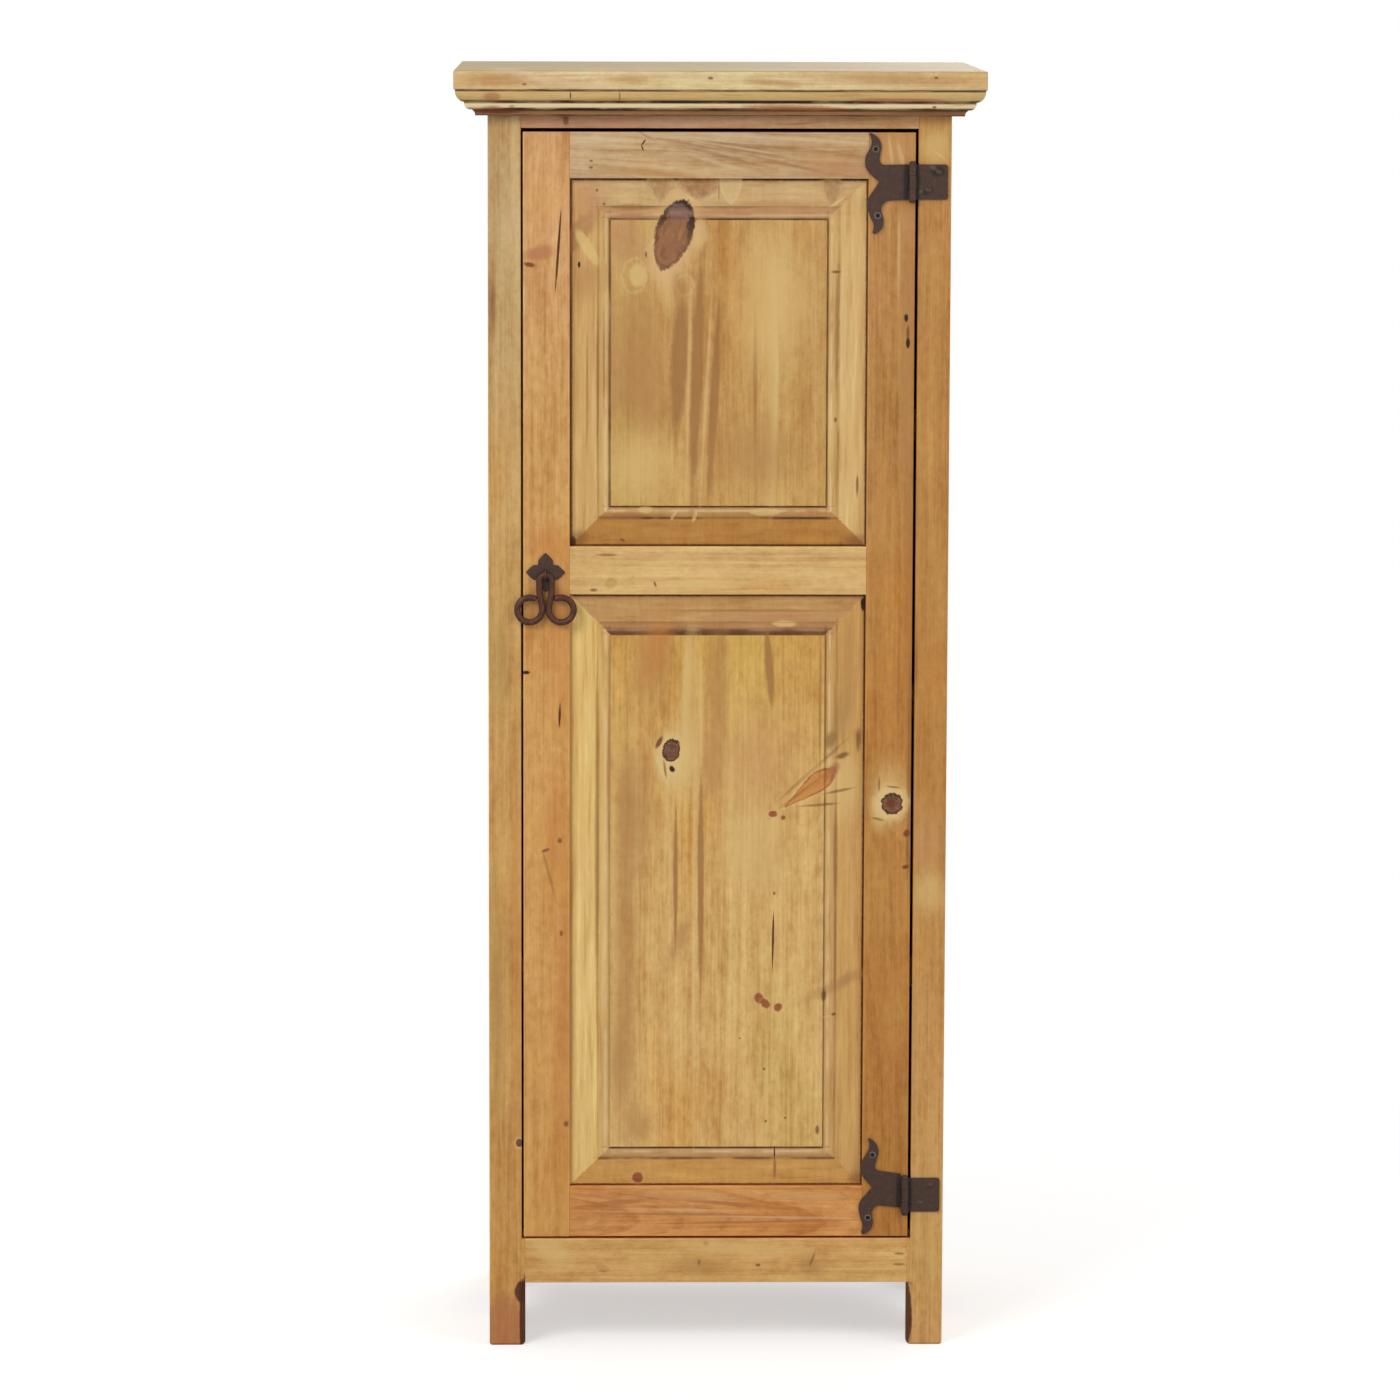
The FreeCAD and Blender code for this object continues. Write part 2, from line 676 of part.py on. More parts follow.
def make_door_frame():
    """Stiles and rails of the door, mortised together and grooved for the panels."""
    y = ("face_front", "door_back")
    groove = ("groove_setback", "groove_back")
    rails = (("top", "upper_panel_top", "door_top"),
             ("middle", "lower_panel_top", "upper_panel_bottom"),
             ("bottom", "door_bottom", "lower_panel_bottom"))
    width = "door_stile_width"
    for side, name in ((1, "left"), (-1, "right")):
        outer = "door_left" if side > 0 else "door_right - " + width
        inner = "door_left + " + width if side > 0 else "door_right"
        inner_edge = width if side > 0 else "0"
        body = board("door_stile_" + name, (outer, inner), y, ("door_bottom", "door_top"), "z")
        x = (width + " - groove_depth", width + " + overrun") if side > 0 else \
            ("-overrun", "groove_depth")
        cut_block(body, "groove", x, groove, ("lower_panel_bottom - door_bottom - groove_depth",
                                              "upper_panel_top - door_bottom + groove_depth"))
        for rail, low, high in rails:
            cut_mortise(body, "mortise_" + rail, side, inner_edge, "door_tenon_length", groove[0],
                        "groove_width", (low + " - door_bottom", high + " - door_bottom"),
                        "groove_depth")
        if side > 0:
            bore_for_staple(body)
        else:
            bore_stile(body, "hinge_axis_x - (%s)" % outer, "door_bottom", horn_screw_places,
                       "screw")
    x = ("door_left + " + width, "door_right - " + width)
    for rail, low, high in rails:
        body = tenoned_rail("door_rail_" + rail, x, y, (low, high), "groove_depth",
                            "door_tenon_length", groove[0], "groove_width")
        across = ("-overrun", "door_daylight + overrun")
        height = "(%s) - (%s)" % (high, low)
        if rail != "bottom":
            cut_groove(body, "groove_below", across, groove, ("-overrun", "groove_depth"))
        if rail != "top":
            cut_groove(body, "groove_above", across, groove,
                       (height + " - groove_depth", height + " + overrun"))


def cut_groove(body, name, x, y, z):
    """Plough the groove that a panel slides in, along a rail."""
    cut_block(body, name, ("0", "door_daylight"), y, z)


def bore_for_staple(body):
    """Two holes through the left stile for the legs of the staple."""
    sketch = new_sketch(body, "staple_holes", "XZ_Plane", "overrun")
    for side in (1, -1):
        circle(sketch, "pull_x - door_left", "pull_axis_z - door_bottom + %d * staple_radius" % side,
               "staple_wire / 2 + glue_gap")
    pocket(body, sketch, "door_thickness + 2 * overrun", reversed_way=False)


def bore_stile(body, axis_x, foot, places, kind):
    """Blind holes in a stile behind both hinges; places gives (x, z) from a hinge's middle."""
    sketch = new_sketch(body, kind + "_holes", "XZ_Plane", "overrun")
    for hinge in HINGES:
        for x, z in places(hinge):
            circle(sketch, "%s + %s" % (axis_x, x), "%s - %s + %s" % (HINGES[hinge][0], foot, z),
                   kind + "_radius + glue_gap")
    pocket(body, sketch, "overrun + %s_length - leaf_thickness + glue_gap" % kind,
           reversed_way=False)


def leaf_point(hinge, across, up):
    """A place on a door leaf, from shares of its strap and horns to (x, z) from its middle."""
    height, above, below, rise, tilt = HINGES[hinge]
    cosine = math.cos(math.radians(tilt))
    sine = math.sin(math.radians(tilt))
    x = "%s * strap_reach" % across
    z = "%s * %s" % (up, above if up > 0 else below)
    return ("(%s * %s + %s * %s)" % (cosine, x, sine, z),
            "(%s * %s - %s * %s + %s)" % (cosine, z, sine, x, rise))


def horn_screw_places(hinge):
    """Middles of the two screws of a door leaf."""
    return [leaf_point(hinge, across, up) for across, up in HORN_SCREW_SHARES]


def frame_nail_places(hinge):
    """Middles of the two nails of a frame leaf, the same on both hinges."""
    return [("%s * frame_leaf_reach" % across, "%s * leaf_height" % up)
            for across, up in FRAME_NAIL_SHARES]


def panel_section(edge, side):
    """What the cutter takes off one border, across it and back from the face of the door."""
    def across(place):
        return "%s + %d * (%s)" % (edge, side, place)

    field = "panel_border"
    bead_end = field + " - panel_step"
    bead_start = bead_end + " - panel_bead_width"
    bevel_end = bead_start + " - panel_quirk_width"
    front = "panel_setback"
    bead_depth = "panel_quirk_depth - panel_bead_rise"
    return [
        (across("-groove_depth - overrun"), "-overrun"),
        (across(field), "-overrun"),
        (across(field), bead_depth + " + " + front),
        (across(bead_end), bead_depth + " + " + front, -70 * side),
        (across(bead_start), "panel_quirk_depth"),
        (across(bevel_end), "panel_quirk_depth"),
        (across(bevel_end), "panel_bevel_depth"),
        (across("arris"), "tongue_front"),
        (across("-groove_depth - overrun"), "tongue_front"),
    ]


def make_panels():
    """Raised panels: the borders are planed along the grain and across it, and meet in mitres."""
    for name, bottom, top in (("lower", "lower_panel_bottom", "lower_panel_top"),
                              ("upper", "upper_panel_bottom", "upper_panel_top")):
        height = "%s - %s" % (top, bottom)
        body = new_body("door_panel_" + name, "door_left + door_stile_width", "face_front", bottom)
        add_block(body, "board", ("-panel_lip", "door_daylight + panel_lip"),
                  ("panel_setback", "panel_back"), ("-panel_lip", height + " + panel_lip"))
        borders = new_sketch(body, "borders_with_grain", "XY_Plane", "-groove_depth")
        outline(borders, panel_section("0", 1))
        outline(borders, panel_section("door_daylight", -1))
        pocket(body, borders, height + " + 2 * groove_depth")
        ends = new_sketch(body, "borders_across_grain", "YZ_Plane", "-groove_depth")
        for edge, side in (("0", 1), (height, -1)):
            points = []
            for point in panel_section(edge, side):
                turn = -point[2] if len(point) > 2 else 0
                points.append((point[1], point[0], turn))
            outline(ends, points)
        pocket(body, ends, "door_daylight + 2 * groove_depth")


def leaf_outline_door(hinge):
    """Door leaf seen from the front: a short strap that splits into two curled horns."""
    start = "-(knuckle_radius + knuckle_gap)"
    rise = HINGES[hinge][3]
    points = [(start, "leaf_height / 2 + " + rise)]
    for across, up, turn in UPPER_HORN_SHARES + LOWER_HORN_SHARES:
        points.append(leaf_point(hinge, across, up) + (turn,))
    points.append((start, rise + " - leaf_height / 2"))
    return points


def make_knuckle(body, name, low, high, side):
    """One knuckle with the web that joins it to its leaf, bored for the pin afterwards."""
    ring = new_sketch(body, name, "XY_Plane", low)
    circle(ring, "0", "0", "knuckle_radius")
    pad(body, ring, "(%s) - (%s)" % (high, low))
    reach = "%d * (knuckle_radius + knuckle_gap + arris)" % side
    x = ("0", reach) if side > 0 else (reach, "0")
    add_block(body, name + "_web", x, ("leaf_front", "knuckle_radius"), (low, high))


def bore_knuckles(body):
    """The hole for the hinge pin, through every knuckle of a leaf."""
    bore = new_sketch(body, "pin_bore", "XY_Plane")
    circle(bore, "0", "0", "pin_radius + pin_clearance")
    pocket(body, bore, "2 * leaf_height", both_ways=True)


def bore_leaf(body, places, radius):
    """Holes through a leaf for its screws or nails."""
    sketch = new_sketch(body, "holes", "XZ_Plane")
    for x, z in places:
        circle(sketch, x, z, radius)
    pocket(body, sketch, "4 * hinge_axis_standoff", both_ways=True)


def make_hinge(place):
    """Door leaf, frame leaf and pin of one hinge, about the upright axis of the door."""
    axis = ("hinge_axis_x", "hinge_axis_y", HINGES[place][0])
    knuckle_top = "leaf_height / 2 - end_knuckle_height"
    touch = size("glue_gap")

    door_leaf = new_body("hinge_%s_door_leaf" % place, *axis)
    sketch = new_sketch(door_leaf, "outline", "XZ_Plane", "-hinge_axis_standoff")
    outline(sketch, leaf_outline_door(place))
    pad(door_leaf, sketch, "leaf_thickness")
    middle = knuckle_top + " - knuckle_gap / 2"
    make_knuckle(door_leaf, "knuckle", "-(%s)" % middle, middle, -1)
    bore_knuckles(door_leaf)
    bore_leaf(door_leaf, horn_screw_places(place), "screw_radius + glue_gap")
    countersink(door_leaf, horn_screw_places(place))

    frame_leaf = new_body("hinge_%s_frame_leaf" % place, *axis)
    sketch = new_sketch(frame_leaf, "outline", "XZ_Plane", "-hinge_axis_standoff")
    outline(sketch, rectangle("knuckle_radius + knuckle_gap", "frame_leaf_reach",
                              "-leaf_height / 2", "leaf_height / 2"))
    plate = pad(frame_leaf, sketch, "leaf_thickness")
    reach = size("frame_leaf_reach")
    fillet(frame_leaf, plate, "leaf_corner_round",
           lambda box: box.XMin > reach - touch and box.ZLength < touch)
    make_knuckle(frame_leaf, "knuckle_above", knuckle_top + " + knuckle_gap / 2", "leaf_height / 2", 1)
    make_knuckle(frame_leaf, "knuckle_below", "-leaf_height / 2",
                 "-(%s + knuckle_gap / 2)" % knuckle_top, 1)
    bore_knuckles(frame_leaf)
    bore_leaf(frame_leaf, frame_nail_places(place), "nail_radius + glue_gap")

    pin = new_body("hinge_%s_pin" % place, *axis)
    half = new_sketch(pin, "half_section", "XZ_Plane")
    top = "leaf_height / 2 + glue_gap"
    outline(half, [
        ("0", "-(%s + pin_head_height)" % top),
        ("0.6 * pin_head_radius", "-(%s + pin_head_height)" % top, 60),
        ("pin_head_radius", "-(%s)" % top),
        ("pin_radius", "-(%s)" % top),
        ("pin_radius", top),
        ("pin_head_radius", top, 60),
        ("0.6 * pin_head_radius", top + " + pin_head_height"),
        ("0", top + " + pin_head_height"),
    ])
    lathe = pin.newObject("PartDesign::Revolution", "hinge_%s_pin_turned" % place)
    lathe.Profile = half
    lathe.ReferenceAxis = (half, ["V_Axis"])
    lathe.Angle = 360
    doc.recompute()


def countersink(body, places):
    """Cone of 45 degrees at each screw hole of a horn, which the flat screw head sits in."""
    sketch = new_sketch(body, "countersinks", "XZ_Plane", "-leaf_front")
    for x, z in places:
        circle(sketch, x, z, "screw_head_radius + glue_gap")
    cone = pocket(body, sketch, "screw_head_radius - screw_radius", reversed_way=False)
    cone.TaperAngle = -45
    doc.recompute()


def turned(points, dome):
    """Turn a half section of (radius, y) points about the Y axis; dome is an arc back to the axis."""
    corners = [FreeCAD.Vector(radius, along, 0) for radius, along in points]
    edges = [Part.LineSegment(start, end).toShape() for start, end in zip(corners, corners[1:])]
    if dome:
        rim = corners[-1]
        crown = FreeCAD.Vector(0, rim.y - dome, 0)
        ball = (rim.x ** 2 + dome ** 2) / (2 * dome)
        half_turn = math.asin(rim.x / ball) / 2
        middle = FreeCAD.Vector(ball * math.sin(half_turn),
                                crown.y + ball * (1 - math.cos(half_turn)), 0)
        edges.append(Part.Arc(rim, middle, crown).toShape())
        edges.append(Part.LineSegment(crown, corners[0]).toShape())
    else:
        edges.append(Part.LineSegment(corners[-1], corners[0]).toShape())
    face = Part.Face(Part.Wire(edges))
    return face.revolve(FreeCAD.Vector(0, 0, 0), FreeCAD.Vector(0, 1, 0), 360)


def flat_screw(shank, length, head):
    """Countersunk screw along +Y, the flat of its head at the origin."""
    return turned([(0, length), (shank, length - 2 * shank), (shank, head - shank), (head, 0),
                   (0, 0)], 0)


def domed_nail(shank, length, head, head_height):
    """Domed nail along +Y, the underside of its head at the origin."""
    return turned([(0, length), (shank, length - 2 * shank), (shank, 0), (head, 0)], head_height)


def group(label, solids):
    """A set of equal fasteners as one node."""
    feature = doc.addObject("Part::Feature", label)
    feature.Label = label
    feature.Shape = Part.makeCompound(solids)
    PARTS.append(feature)


def hinge_fasteners(label, places, solid):
    """One fastener in each hole of both hinges."""
    solids = []
    for hinge in HINGES:
        for x, z in places(hinge):
            copy = solid.copy()
            copy.translate(FreeCAD.Vector(size("hinge_axis_x + " + x), 0,
                                          size("%s + %s" % (HINGES[hinge][0], z))))
            solids.append(copy)
    group(label, solids)


def make_hinge_fasteners():
    """Flat-headed screws through the horns, domed nails through the frame leaves."""
    face = size("face_front - leaf_thickness")
    screw = flat_screw(size("screw_radius"), size("screw_length"), size("screw_head_radius"))
    screw.translate(FreeCAD.Vector(0, face, 0))
    nail = domed_nail(size("nail_radius"), size("nail_length"), size("nail_head_radius"),
                      size("nail_head_height"))
    nail.translate(FreeCAD.Vector(0, face, 0))
    hinge_fasteners("hinge_door_screws", horn_screw_places, screw)
    hinge_fasteners("hinge_frame_nails", frame_nail_places, nail)


def make_pull_plate():
    """Plate with four pointed lobes, cut from sheet iron and bored for the staple."""
    body = new_body("pull_plate", "pull_x", "face_front", "pull_height")
    sketch = new_sketch(body, "outline", "XZ_Plane")
    points = []
    for quarter in range(4):
        cosine = (1, 0, -1, 0)[quarter]
        sine = (0, 1, 0, -1)[quarter]
        for across, up, turn in LOBE_SHARES:
            points.append(("%s * plate_reach" % (across * cosine - up * sine),
                           "%s * plate_reach" % (across * sine + up * cosine), turn))
    outline(sketch, points)
    plate = pad(body, sketch, "plate_thickness")
    front = -size("plate_thickness - glue_gap")
    chamfer(body, plate, "plate_edge", lambda box: box.YMax < front)
    holes = new_sketch(body, "staple_holes", "XZ_Plane")
    for side in (1, -1):
        circle(holes, "0", "%d * staple_radius - drop_axis_drop" % side, "staple_wire / 2 + glue_gap")
    pocket(body, holes, "4 * plate_thickness", both_ways=True)


def sweep(body, name, profile, spine):
    """Run a round section along a bent line."""
    pipe = body.newObject("PartDesign::AdditivePipe", body.Label + "_" + name)
    pipe.Profile = profile
    pipe.Spine = spine
    doc.recompute()
    return pipe


def make_pull_staple():
    """Bent wire: a bow round the drop, two legs through the door, ends clinched on its back."""
    body = new_body("pull_staple", "pull_x", "pull_axis_y", "pull_axis_z")
    wire = new_sketch(body, "section", "XY_Plane")
    circle(wire, "0", "-staple_radius", "staple_wire / 2")
    path = new_sketch(body, "path", "YZ_Plane")
    clinch = "door_back - pull_axis_y + clinch_bend"
    outline(path, [("-staple_radius", "0", -90),
                   ("0", "staple_radius"),
                   (clinch + " - clinch_bend", "staple_radius", 90),
                   (clinch, "staple_radius + clinch_bend"),
                   (clinch, "staple_radius + clinch_bend + clinch_length")], closed=False)
    mirror(body, sweep(body, "half", wire, path), "XY_Plane")


def make_pull_drop():
    """One rod bent into a hairpin whose legs lean together and curl out into two rings."""
    body = new_body("pull_drop", "pull_x", "pull_axis_y", "pull_axis_z")
    section = new_sketch(body, "section", "YZ_Plane")
    circle(section, "0", "0", "drop_rod / 2")
    near = "(drop_rod + drop_leg_gap) / 2"
    wide = "drop_bend_radius"
    path = new_sketch(body, "path", "XZ_Plane")
    lean = "-%s * drop_ring_depth" % LEAN_SHARE
    fall = abs(size(lean + " + drop_ring_depth"))
    turn_in = math.degrees(2 * math.atan((size(wide) - size(near)) / fall))
    centre = "%s + drop_ring_radius" % near
    end = math.radians(RING_END_DEGREES)
    outline(path, [
        ("0", "0", -90),
        (wide, "-drop_bend_radius"),
        (wide, lean, -turn_in),
        ("(%s + %s) / 2" % (near, wide), "(%s - drop_ring_depth) / 2" % lean, turn_in),
        (near, "-drop_ring_depth", 180),
        ("%s + drop_ring_radius" % centre, "-drop_ring_depth", RING_END_DEGREES),
        ("%s + %s * drop_ring_radius" % (centre, math.cos(end)),
         "%s * drop_ring_radius - drop_ring_depth" % math.sin(end)),
    ], closed=False)
    whole = mirror(body, sweep(body, "half", section, path), "YZ_Plane")
    tip_x = size(centre) + math.cos(end) * size("drop_ring_radius")
    tip_z = math.sin(end) * size("drop_ring_radius") - size("drop_ring_depth")
    near_tip = size("drop_rod") / 4
    fillet(body, whole, "drop_tip_round", lambda box: (
        abs(abs(box.Center.x) - tip_x) < near_tip and abs(box.Center.z - tip_z) < near_tip
        and box.YLength > size("drop_rod") / 2))


def make_catch():
    """Magnetic catch under the middle shelf and the strike plate that it holds."""
    shelf = "shelf_middle_top - shelf_thickness"
    left = "door_left + catch_from_stile"
    front = "door_back + strike_thickness + catch_play"
    body = new_body("catch_body", left, front, shelf + " - catch_height")
    block = add_block(body, "case", ("0", "catch_width"), ("0", "catch_depth"), ("0", "catch_height"))
    chamfer(body, block, "arris", runs_along("z"))
    shanks = []
    screw = domed_nail(size("catch_screw_radius"), size("catch_height + catch_screw_bite"),
                       size("catch_screw_head"), size("strike_thickness"))
    screw.rotate(FreeCAD.Vector(0, 0, 0), FreeCAD.Vector(1, 0, 0), 90)
    bores = new_sketch(body, "screw_holes", "XY_Plane")
    for across_share in (0.22, 0.78):
        circle(bores, "%s * catch_width" % across_share, "0.7 * catch_depth",
               "catch_screw_radius + glue_gap")
        copy = screw.copy()
        copy.translate(FreeCAD.Vector(size(left) + across_share * size("catch_width"),
                                      size(front) + 0.7 * size("catch_depth"),
                                      size(shelf + " - catch_height")))
        shanks.append(copy)
    pocket(body, bores, "3 * catch_height", both_ways=True)
    group("catch_screws", shanks)

    shelf_body = doc.getObject("shelf_middle")
    pilots = new_sketch(shelf_body, "catch_pilots", "XY_Plane", "-overrun")
    for across_share in (0.22, 0.78):
        circle(pilots, "%s + %s * catch_width + half_inside" % (left, across_share),
               front + " + 0.7 * catch_depth - shelf_front", "catch_screw_radius + glue_gap")
    pocket(shelf_body, pilots, "overrun + catch_screw_bite + glue_gap")

    centre = left + " + catch_width / 2"
    strike = new_body("catch_strike", centre + " - strike_width / 2", "door_back",
                      "%s - (catch_height + strike_height) / 2" % shelf)
    plate = add_block(strike, "plate", ("0", "strike_width"), ("0", "strike_thickness"),
                      ("0", "strike_height"))
    chamfer(strike, plate, "arris", runs_along("y"))
    eye = new_sketch(strike, "screw_hole", "XZ_Plane", "-strike_thickness")
    circle(eye, "strike_width / 2", "strike_height / 2", "catch_screw_head + glue_gap")
    cone = pocket(strike, eye, "strike_thickness")
    cone.TaperAngle = -45
    doc.recompute()
    screw = flat_screw(size("catch_screw_radius"), size("strike_screw_length"),
                       size("catch_screw_head"))
    screw.rotate(FreeCAD.Vector(0, 0, 0), FreeCAD.Vector(0, 0, 1), 180)
    screw.translate(FreeCAD.Vector(size(centre), size("door_back + strike_thickness"),
                                   size("%s - catch_height / 2" % shelf)))
    group("catch_strike_screw", [screw])
    stile = doc.getObject("door_stile_left")
    pilot = new_sketch(stile, "strike_pilot", "XZ_Plane", "-door_thickness - overrun")
    circle(pilot, centre + " - door_left", "%s - catch_height / 2 - door_bottom" % shelf,
           "catch_screw_radius + glue_gap")
    pocket(stile, pilot, "overrun + strike_screw_length - strike_thickness + glue_gap")


def check_document():
    """Stop if any object of the document failed, or any piece has no sound shape."""
    doc.recompute()
    for item in doc.Objects:
        if "Invalid" in item.State or "Error" in item.State:
            raise ValueError("failed: %s %s" % (item.Label, item.State))
    for piece in PARTS:
        if piece.Shape.isNull() or not piece.Shape.isValid():
            raise ValueError("no sound shape: " + piece.Label)


make_top()
make_cornice()
make_face_frame()
make_sides()
make_back()
make_shelves()
make_door_frame()
make_panels()
for place in HINGES:
    make_hinge(place)
make_hinge_fasteners()
make_pull_plate()
make_pull_staple()
make_pull_drop()
make_catch()
check_document()

os.makedirs("parts", exist_ok=True)
for piece in PARTS:
    piece.Shape.exportStep("parts/%s.step" % piece.Label)
    print("%-28s %d solids %10.0f mm3" % (piece.Label, len(piece.Shape.Solids), piece.Shape.Volume))
print(len(PARTS), "nodes")
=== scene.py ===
# %% [markdown]
# # A rustic pine cabinet, one finish at a time
# The joiner's work is already done: every board, hinge and screw comes in as a finished solid
# and stays where it is. This lesson is about what the eye sees next, which is stained and waxed
# pine with its knots, forged iron, and the small things that repeat, such as screws and nails.

# %% The finished solids
import math
import random

import bmesh
import bpy
from mathutils import Matrix, Vector


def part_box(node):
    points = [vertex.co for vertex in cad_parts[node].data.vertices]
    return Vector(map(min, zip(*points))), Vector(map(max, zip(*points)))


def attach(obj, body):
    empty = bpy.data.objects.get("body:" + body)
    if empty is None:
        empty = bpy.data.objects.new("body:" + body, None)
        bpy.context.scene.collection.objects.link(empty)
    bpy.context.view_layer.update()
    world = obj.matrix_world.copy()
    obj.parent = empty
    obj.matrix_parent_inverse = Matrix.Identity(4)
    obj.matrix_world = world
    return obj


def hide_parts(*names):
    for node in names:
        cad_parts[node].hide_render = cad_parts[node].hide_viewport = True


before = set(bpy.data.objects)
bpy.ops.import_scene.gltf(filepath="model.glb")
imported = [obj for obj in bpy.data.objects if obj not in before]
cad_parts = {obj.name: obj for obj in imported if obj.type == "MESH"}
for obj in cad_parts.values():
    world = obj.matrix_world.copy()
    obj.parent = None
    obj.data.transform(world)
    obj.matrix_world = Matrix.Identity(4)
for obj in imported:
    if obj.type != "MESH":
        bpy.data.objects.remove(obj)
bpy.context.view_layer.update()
MM = 0.001
print(len(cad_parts), "pieces from the workshop")

# %% [markdown]
# ## Where the camera stands
# A tall cabinet looks right when its upright edges stay nearly upright, so the picture is taken
# from far away with a long lens, a little left of the middle and a little above the top board.
# The camera leans down by a few degrees, and a slight shift keeps the whole cabinet in the frame.

# %% Camera
LENS_MM = 144.0
SENSOR_MM = 36.0
SHIFT_UP = -0.05
CAMERA_PLACE = Vector((-0.1458, -6.6523, 1.6796))
LOOK_RIGHT, LOOK_DOWN, ROLL = (math.radians(angle) for angle in (1.101, 7.252, 0.173))


def aim(right_turn, down_turn, roll):
    """Camera axes from how far it looks right, down, and rolls."""
    forward = Vector((math.sin(right_turn) * math.cos(down_turn),
                      math.cos(right_turn) * math.cos(down_turn), -math.sin(down_turn)))
    level = Vector((math.cos(right_turn), -math.sin(right_turn), 0))
    upward = level.cross(forward)
    right = math.cos(roll) * level + math.sin(roll) * upward
    up = math.cos(roll) * upward - math.sin(roll) * level
    return Matrix((right, up, -forward)).transposed()


camera_data = bpy.data.cameras.new("camera")
camera_data.lens = LENS_MM
camera_data.sensor_width = SENSOR_MM
camera_data.shift_y = SHIFT_UP
camera = bpy.data.objects.new("camera", camera_data)
camera.matrix_world = Matrix.Translation(CAMERA_PLACE) @ aim(LOOK_RIGHT, LOOK_DOWN, ROLL).to_4x4()
bpy.context.scene.collection.objects.link(camera)
bpy.context.scene.camera = camera
print("camera", round(CAMERA_PLACE.length, 2), "m from the middle of the floor")

# %% [markdown]
# ## Wiring a material by hand
# A procedural material is a small sum: places go in, a colour comes out. Writing that sum with
# the full names of Blender's nodes hides what it says, so a few short helpers come first. Each
# one adds a node or two, joins what it is given, and hands back the socket to go on with. A part
# of a sum that many boards share goes into a group, which has named inputs like a tool's dials.


# %% Colours from a paint card
def tone(red, green, blue):
    """A colour as read from a paint card, 0 to 255, turned into the light that it sends back."""
    return tuple((part / 255) ** 2.2 for part in (red, green, blue)) + (1.0,)


def shade(colour, share):
    """The same colour, lighter or darker."""
    return tuple(part * share for part in colour[:3]) + (1.0,)


print("bare pine is about", [round(part, 2) for part in tone(224, 186, 122)[:3]])


# %% Placing nodes
class Tree:
    """Adds nodes to one tree; numbers, colours and sockets can all be given as inputs."""

    def __init__(self, tree):
        self.tree = tree

    def node(self, kind, **settings):
        """A new node with its settings."""
        made = self.tree.nodes.new(kind)
        for name, value in settings.items():
            setattr(made, name, value)
        return made

    def feed(self, socket, value):
        """Link an input to a socket, or write a value into it; None leaves it as it is."""
        if isinstance(value, bpy.types.NodeSocket):
            self.tree.links.new(value, socket)
        elif value is not None:
            socket.default_value = value

    def fill(self, made, *values):
        """Feed the inputs of a node in their order and hand back its first output."""
        for socket, value in zip(made.inputs, values):
            self.feed(socket, value)
        return made.outputs[0]

    def fed(self, kind, inputs, **settings):
        """A new node with some inputs fed by name or number; hands back its outputs."""
        made = self.node(kind, **settings)
        for key, value in inputs.items():
            self.feed(made.inputs[key], value)
        return made.outputs


print("nodes can be placed")


# %% Short names for sums
class Sums(Tree):
    """The sums that patterns need, each with numbers or sockets as its inputs."""

    def math(self, operation, *values):
        """One sum that Blender has a name for."""
        return self.fill(self.node("ShaderNodeMath", operation=operation), *values)

    def add(self, first, *others):
        """All values added up."""
        for other in others:
            first = self.math("ADD", first, other)
        return first

    def times(self, first, *others):
        """All values multiplied."""
        for other in others:
            first = self.math("MULTIPLY", first, other)
        return first

    def minus(self, first, second):
        """The first value less the second."""
        return self.math("SUBTRACT", first, second)

    def over(self, first, second):
        """The first value divided by the second."""
        return self.math("DIVIDE", first, second)

    def both_ways(self, noise, most):
        """A noise made to swing both ways about zero."""
        return self.times(self.minus(noise, 0.5), most)

    def band(self, value, start, end, low=0.0, high=1.0):
        """A soft step from low to high as the value goes from start to end."""
        made = self.node("ShaderNodeMapRange", interpolation_type="SMOOTHSTEP")
        return self.fill(made, value, start, end, low, high)

    def slope(self, value, start, end):
        """An even climb from 0 to 1 as the value goes from start to end."""
        made = self.node("ShaderNodeMapRange", interpolation_type="LINEAR")
        return self.fill(made, value, start, end)


print("sums have short names")


# %% Short names for places, patterns and colours
class Wiring(Sums):
    """All the short names together, for one tree."""

    def object_place(self):
        """Where a point lies on the cabinet, in metres."""
        return self.node("ShaderNodeTexCoord").outputs["Object"]

    def blend(self, share, first, second, how="MIX"):
        """Two colours mixed by a share."""
        return self.fed("ShaderNodeMix", {0: share, 6: first, 7: second},
                        data_type="RGBA", blend_type=how)[2]

    def tint(self, colour, by):
        """A colour seen through another one."""
        return self.blend(1.0, colour, by, "MULTIPLY")

    def stretch(self, place, factors):
        """A place with each of its three parts multiplied."""
        return self.fill(self.node("ShaderNodeVectorMath", operation="MULTIPLY"), place, factors)

    def move(self, place, offset):
        """A place moved by an offset."""
        return self.fill(self.node("ShaderNodeVectorMath", operation="ADD"), place, offset)

    def noise(self, place, scale, detail=2.0, rough=0.5):
        """Cloudy noise about 0.5."""
        return self.fed("ShaderNodeTexNoise", {"Vector": place, "Scale": scale, "Detail": detail,
                                               "Roughness": rough})[0]

    def patches(self, place, per_metre, detail=3.0, rough=0.6):
        """Cloudy noise with so many patches to a metre in each of the three directions."""
        return self.noise(self.stretch(place, per_metre), 1.0, detail, rough)

    def apart(self, place):
        """The three parts of a place."""
        return self.fed("ShaderNodeSeparateXYZ", {0: place})

    def together(self, x, y, z):
        """A place from its three parts."""
        return self.fill(self.node("ShaderNodeCombineXYZ"), x, y, z)


print("patterns and colours too")


